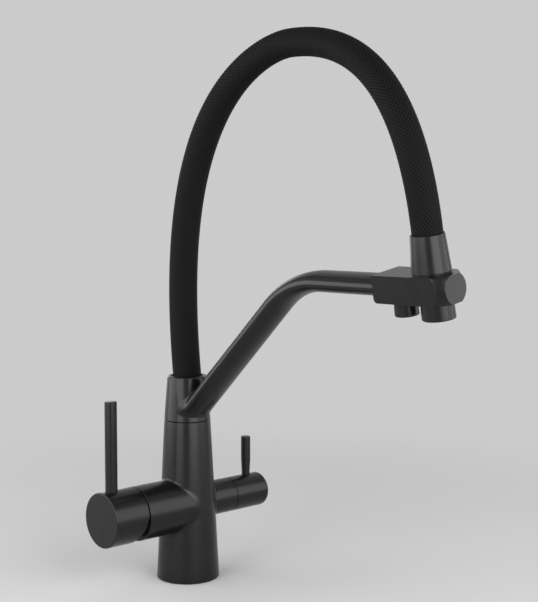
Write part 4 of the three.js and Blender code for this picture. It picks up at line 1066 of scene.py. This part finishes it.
def braid_weave():
    """Black textile braid: fine threads along each strand, with painted shade that darkens the
    hollows.
    """
    shade = material("braid_weave")
    marks = shade.node("ShaderNodeUVMap", {"uv_map": "strands"})
    u = shade.node("ShaderNodeSeparateXYZ", values=[marks])
    v = u.also(1)
    right, left = u + v, u - v
    inside_right, inside_left = right.apply("FRACT"), left.apply("FRACT")
    hand = (right.apply("FLOOR") + left.apply("FLOOR")).apply("MODULO", 2.0).apply("ABSOLUTE")
    across = inside_right * hand + inside_left * (1 - hand)
    crown = (across * math.pi).apply("SINE")
    along = inside_left * hand + inside_right * (1 - hand)
    rise = (along * math.pi).apply("SINE")
    thread = (across * (2 * math.pi * THREADS)).apply("SINE") * 0.5 + 0.5
    fuzz = shade.noise(5200.0, 2.0)
    body = (crown * rise) ** 0.7
    # painted shade: the colour is darkest in the hollows between the crossings and between the
    # threads, and the fuzz adds a tone that differs at random
    hollow_shade_and_fuzz = body * (0.5 + thread * 0.3 + fuzz * 0.3)
    colour = shade.blend(hollow_shade_and_fuzz, (0.0004, 0.0004, 0.0004), (0.0115, 0.0115, 0.0118))
    height = body * 0.7 + thread * 0.2 + fuzz * 0.15
    return shade.finish(Base_Color=colour, Roughness=0.7 - thread * 0.12,
                        Specular_IOR_Level=0.06, Normal=shade.bump(height, 0.00025, 0.8))


def machined(name, dark, light, roughness):
    """Bright turned metal with fine uneven marks."""
    shade = material(name)
    marks = shade.noise(900.0, 3.0, 0.6, (1, 1, 6))
    colour = shade.blend(marks, dark, light)
    return shade.finish(Base_Color=colour, Roughness=roughness + marks * 0.12, Metallic=1.0,
                        Normal=shade.bump(marks, 0.00002, 0.5))


def moulded(name, dark, light, roughness):
    """Moulded plastic or rubber with a fine texture."""
    shade = material(name)
    fine = shade.noise(1800.0, 2.0)
    cloud = shade.noise(60.0, 1.0)
    colour = shade.blend(cloud * 0.6 + fine * 0.4, dark, light)
    return shade.finish(Base_Color=colour, Roughness=roughness + fine * 0.1,
                        Normal=shade.bump(fine, 0.00002, 0.5))


def pale_floor():
    """A plain pale floor that goes over into the plain background away from the tap."""
    shade = material("pale_floor")
    pale = [(FLOOR_COLOUR * share,) * 3 for share in (0.985, 1.015)]
    shade.finish(Base_Color=shade.blend(shade.noise(9.0, 2.0), *pale), Roughness=0.8,
                 Specular_IOR_Level=0.1)
    far = shade.node("ShaderNodeVectorMath", {"operation": "LENGTH"}, [shade.place()], output=1)
    fade = ((far - FADE_START) / FADE_LENGTH).apply("MAXIMUM", 0.0).apply("MINIMUM", 1.0)
    fade = fade * fade * (3 - 2 * fade)
    plain = shade.node("ShaderNodeEmission", values={"Color": (1, 1, 1, 1), "Strength": BACKDROP})
    body = Wire(shade, shade.surface.outputs[0])
    mixed = shade.node("ShaderNodeMixShader", values=[fade * shade.seen(), body, plain])
    shade.feed(shade.tree.nodes["Material Output"].inputs["Surface"], mixed)
    return shade.owner


def wear(made, finish):
    """Gives a piece one material."""
    made.data.materials.clear()
    made.data.materials.append(finish)
    return made


# ---------------- the tap


def dress():
    """Makes the visible pieces, gives each its finish, and lays them on the solids."""
    finishes = {
        "coated_metal": black_coat(),
        "braid": braid_weave(),
        "brass": machined("turned_brass", (0.42, 0.27, 0.09), (0.60, 0.42, 0.17), 0.24),
        "steel": machined("turned_steel", (0.40, 0.41, 0.42), (0.58, 0.59, 0.60), 0.24),
        "ceramic": moulded("lapped_ceramic", (0.72, 0.69, 0.62), (0.80, 0.78, 0.72), 0.2),
        "rubber": moulded("black_rubber", (0.012, 0.012, 0.012), (0.022, 0.022, 0.022), 0.6),
        "dark_plastic": moulded("dark_plastic", (0.014, 0.014, 0.015), (0.024, 0.024, 0.026),
                                0.38),
        "pale_plastic": moulded("pale_plastic", (0.60, 0.59, 0.55), (0.70, 0.69, 0.65), 0.35),
    }
    for entry in frame["record"]["subparts"]:
        wear(frame["nodes"][entry["node"]], finishes[entry["material_slot"]])

    def set_in(made, body, slot, *nodes):
        """Sets a piece on its body, in place of the nodes that it shows."""
        wear(made, finishes[slot])
        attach(made, body)
        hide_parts(*nodes)

    set_in(column_casting(), "tap_body", "coated_metal", "body_column")
    set_in(spout_casting(), "spout", "coated_metal", "swivel_collar", "spout_arm")
    set_in(outlet_block(), "spout", "coated_metal", "outlet_block")
    set_in(ferrule(), "spout", "coated_metal", "hose_end_ferrule")
    set_in(nozzle("mixed_outlet", MIXED), "spout", "coated_metal", "mixed_outlet_nozzle")
    set_in(nozzle("filtered_outlet", FILTERED), "spout", "coated_metal", "filtered_outlet_nozzle")
    for made in honeycomb("mixed_straightener", MIXED):
        set_in(made, "spout", "pale_plastic", "mixed_outlet_aerator")
    for made in honeycomb("filtered_straightener", FILTERED):
        set_in(made, "spout", "pale_plastic", "filtered_outlet_insert")
    set_in(braided_sleeve(), "spout", "braid", "hose_sleeve")
    set_in(cover_ring(), "tap_body", "dark_plastic", "cartridge_cover_ring")
    set_in(mixer_hub(), "mixer_handle", "coated_metal", "mixer_handle_hub")
    set_in(mixer_lever(), "mixer_handle", "coated_metal", "mixer_lever")
    set_in(filter_hub(), "filter_handle", "coated_metal", "filter_handle_hub")
    set_in(filter_lever(), "filter_handle", "coated_metal", "filter_lever")
    set_in(screw_plug("mixer_plug", MIXER, MIXER_SCREW_REACH, MIXER_RADIUS), "mixer_handle",
           "rubber", "mixer_screw_plug")
    set_in(screw_plug("filter_plug", FILTER, FILTER_SCREW_REACH, FILTER_RADIUS), "filter_handle",
           "rubber", "filter_screw_plug")
    set_in(retaining_screw(), "tap_body", "steel", "swivel_retaining_screw")
    set_in(base_seal(), "tap_body", "rubber", "base_gasket")


# ---------------- camera, floor and light

AZIMUTH = math.radians(-42.73)
PITCH = math.radians(4.22)
CAMERA_DISTANCE = 0.93398
CAMERA_SIDE = 0.06506
CAMERA_HEIGHT = 0.29029
FOCAL_PIXELS = 1183.06
FRAME_HEIGHT = 602
SENSOR = 36.0
FLOOR_HALF = 8000
BOX_HEIGHT = 0.48
BOX_TALL = 0.94


def around(azimuth, distance, height, side=0.0):
    """A point round the tap: azimuth 0 is in front of the spout."""
    return Vector((math.sin(azimuth) * distance + math.cos(azimuth) * side,
                   -math.cos(azimuth) * distance + math.sin(azimuth) * side, height))


def camera():
    """The camera that looks at the tap as the photograph does."""
    data = bpy.data.cameras.new("camera")
    data.sensor_fit = "VERTICAL"
    data.sensor_height = SENSOR
    data.lens = FOCAL_PIXELS / FRAME_HEIGHT * SENSOR
    data.clip_start = 0.01
    made = add("camera", data)
    made.location = around(AZIMUTH, CAMERA_DISTANCE, CAMERA_HEIGHT, CAMERA_SIDE)
    made.rotation_euler = (math.pi / 2 - PITCH, 0, AZIMUTH)
    bpy.context.scene.camera = made


def floor():
    """The floor, just under the base."""
    a = FLOOR_HALF
    made = piece("floor", [(-a, -a, 0), (a, -a, 0), (a, a, 0), (-a, a, 0)], [[0, 1, 2, 3]])
    made.location.z = -0.0002
    wear(made, pale_floor())


def softbox(name, azimuth, distance, wide, radiance):
    """An upright box of even light that faces the tap."""
    data = bpy.data.lights.new(name, "AREA")
    data.shape = "RECTANGLE"
    data.size, data.size_y = wide, BOX_TALL
    data.energy = radiance * math.pi * wide * BOX_TALL
    made = add(name, data)
    made.location = around(azimuth, distance, BOX_HEIGHT)
    made.rotation_euler = (math.pi / 2, 0, azimuth)


def light():
    """Two pairs of tall softboxes with a gap round the camera, two weak ones behind, and a dim
    even surround that is as pale as the backdrop where it is seen or mirrored."""
    for name, turn, distance, wide, radiance in (
        ("left_box", -40, 1.15, 0.98, 4.4), ("left_far_box", -90, 1.15, 0.98, 3.3),
        ("right_box", 35, 1.15, 0.84, 5.0), ("right_far_box", 78, 1.15, 0.84, 2.2),
        ("left_back_box", -150, 1.5, 1.1, 1.3), ("right_back_box", 145, 1.5, 1.1, 1.3),
    ):
        softbox(name, AZIMUTH + math.radians(turn), distance, wide, radiance)
    world = bpy.data.worlds.new("surround")
    bpy.context.scene.world = world
    shade = Shade(world, "Background")
    shade.finish(Color=(1, 1, 1, 1),
                 Strength=shade.seen() * (BACKDROP - SURROUND) + SURROUND)


camera()
dress()
floor()
light()
scene = bpy.context.scene
scene.view_settings.view_transform = "Standard"
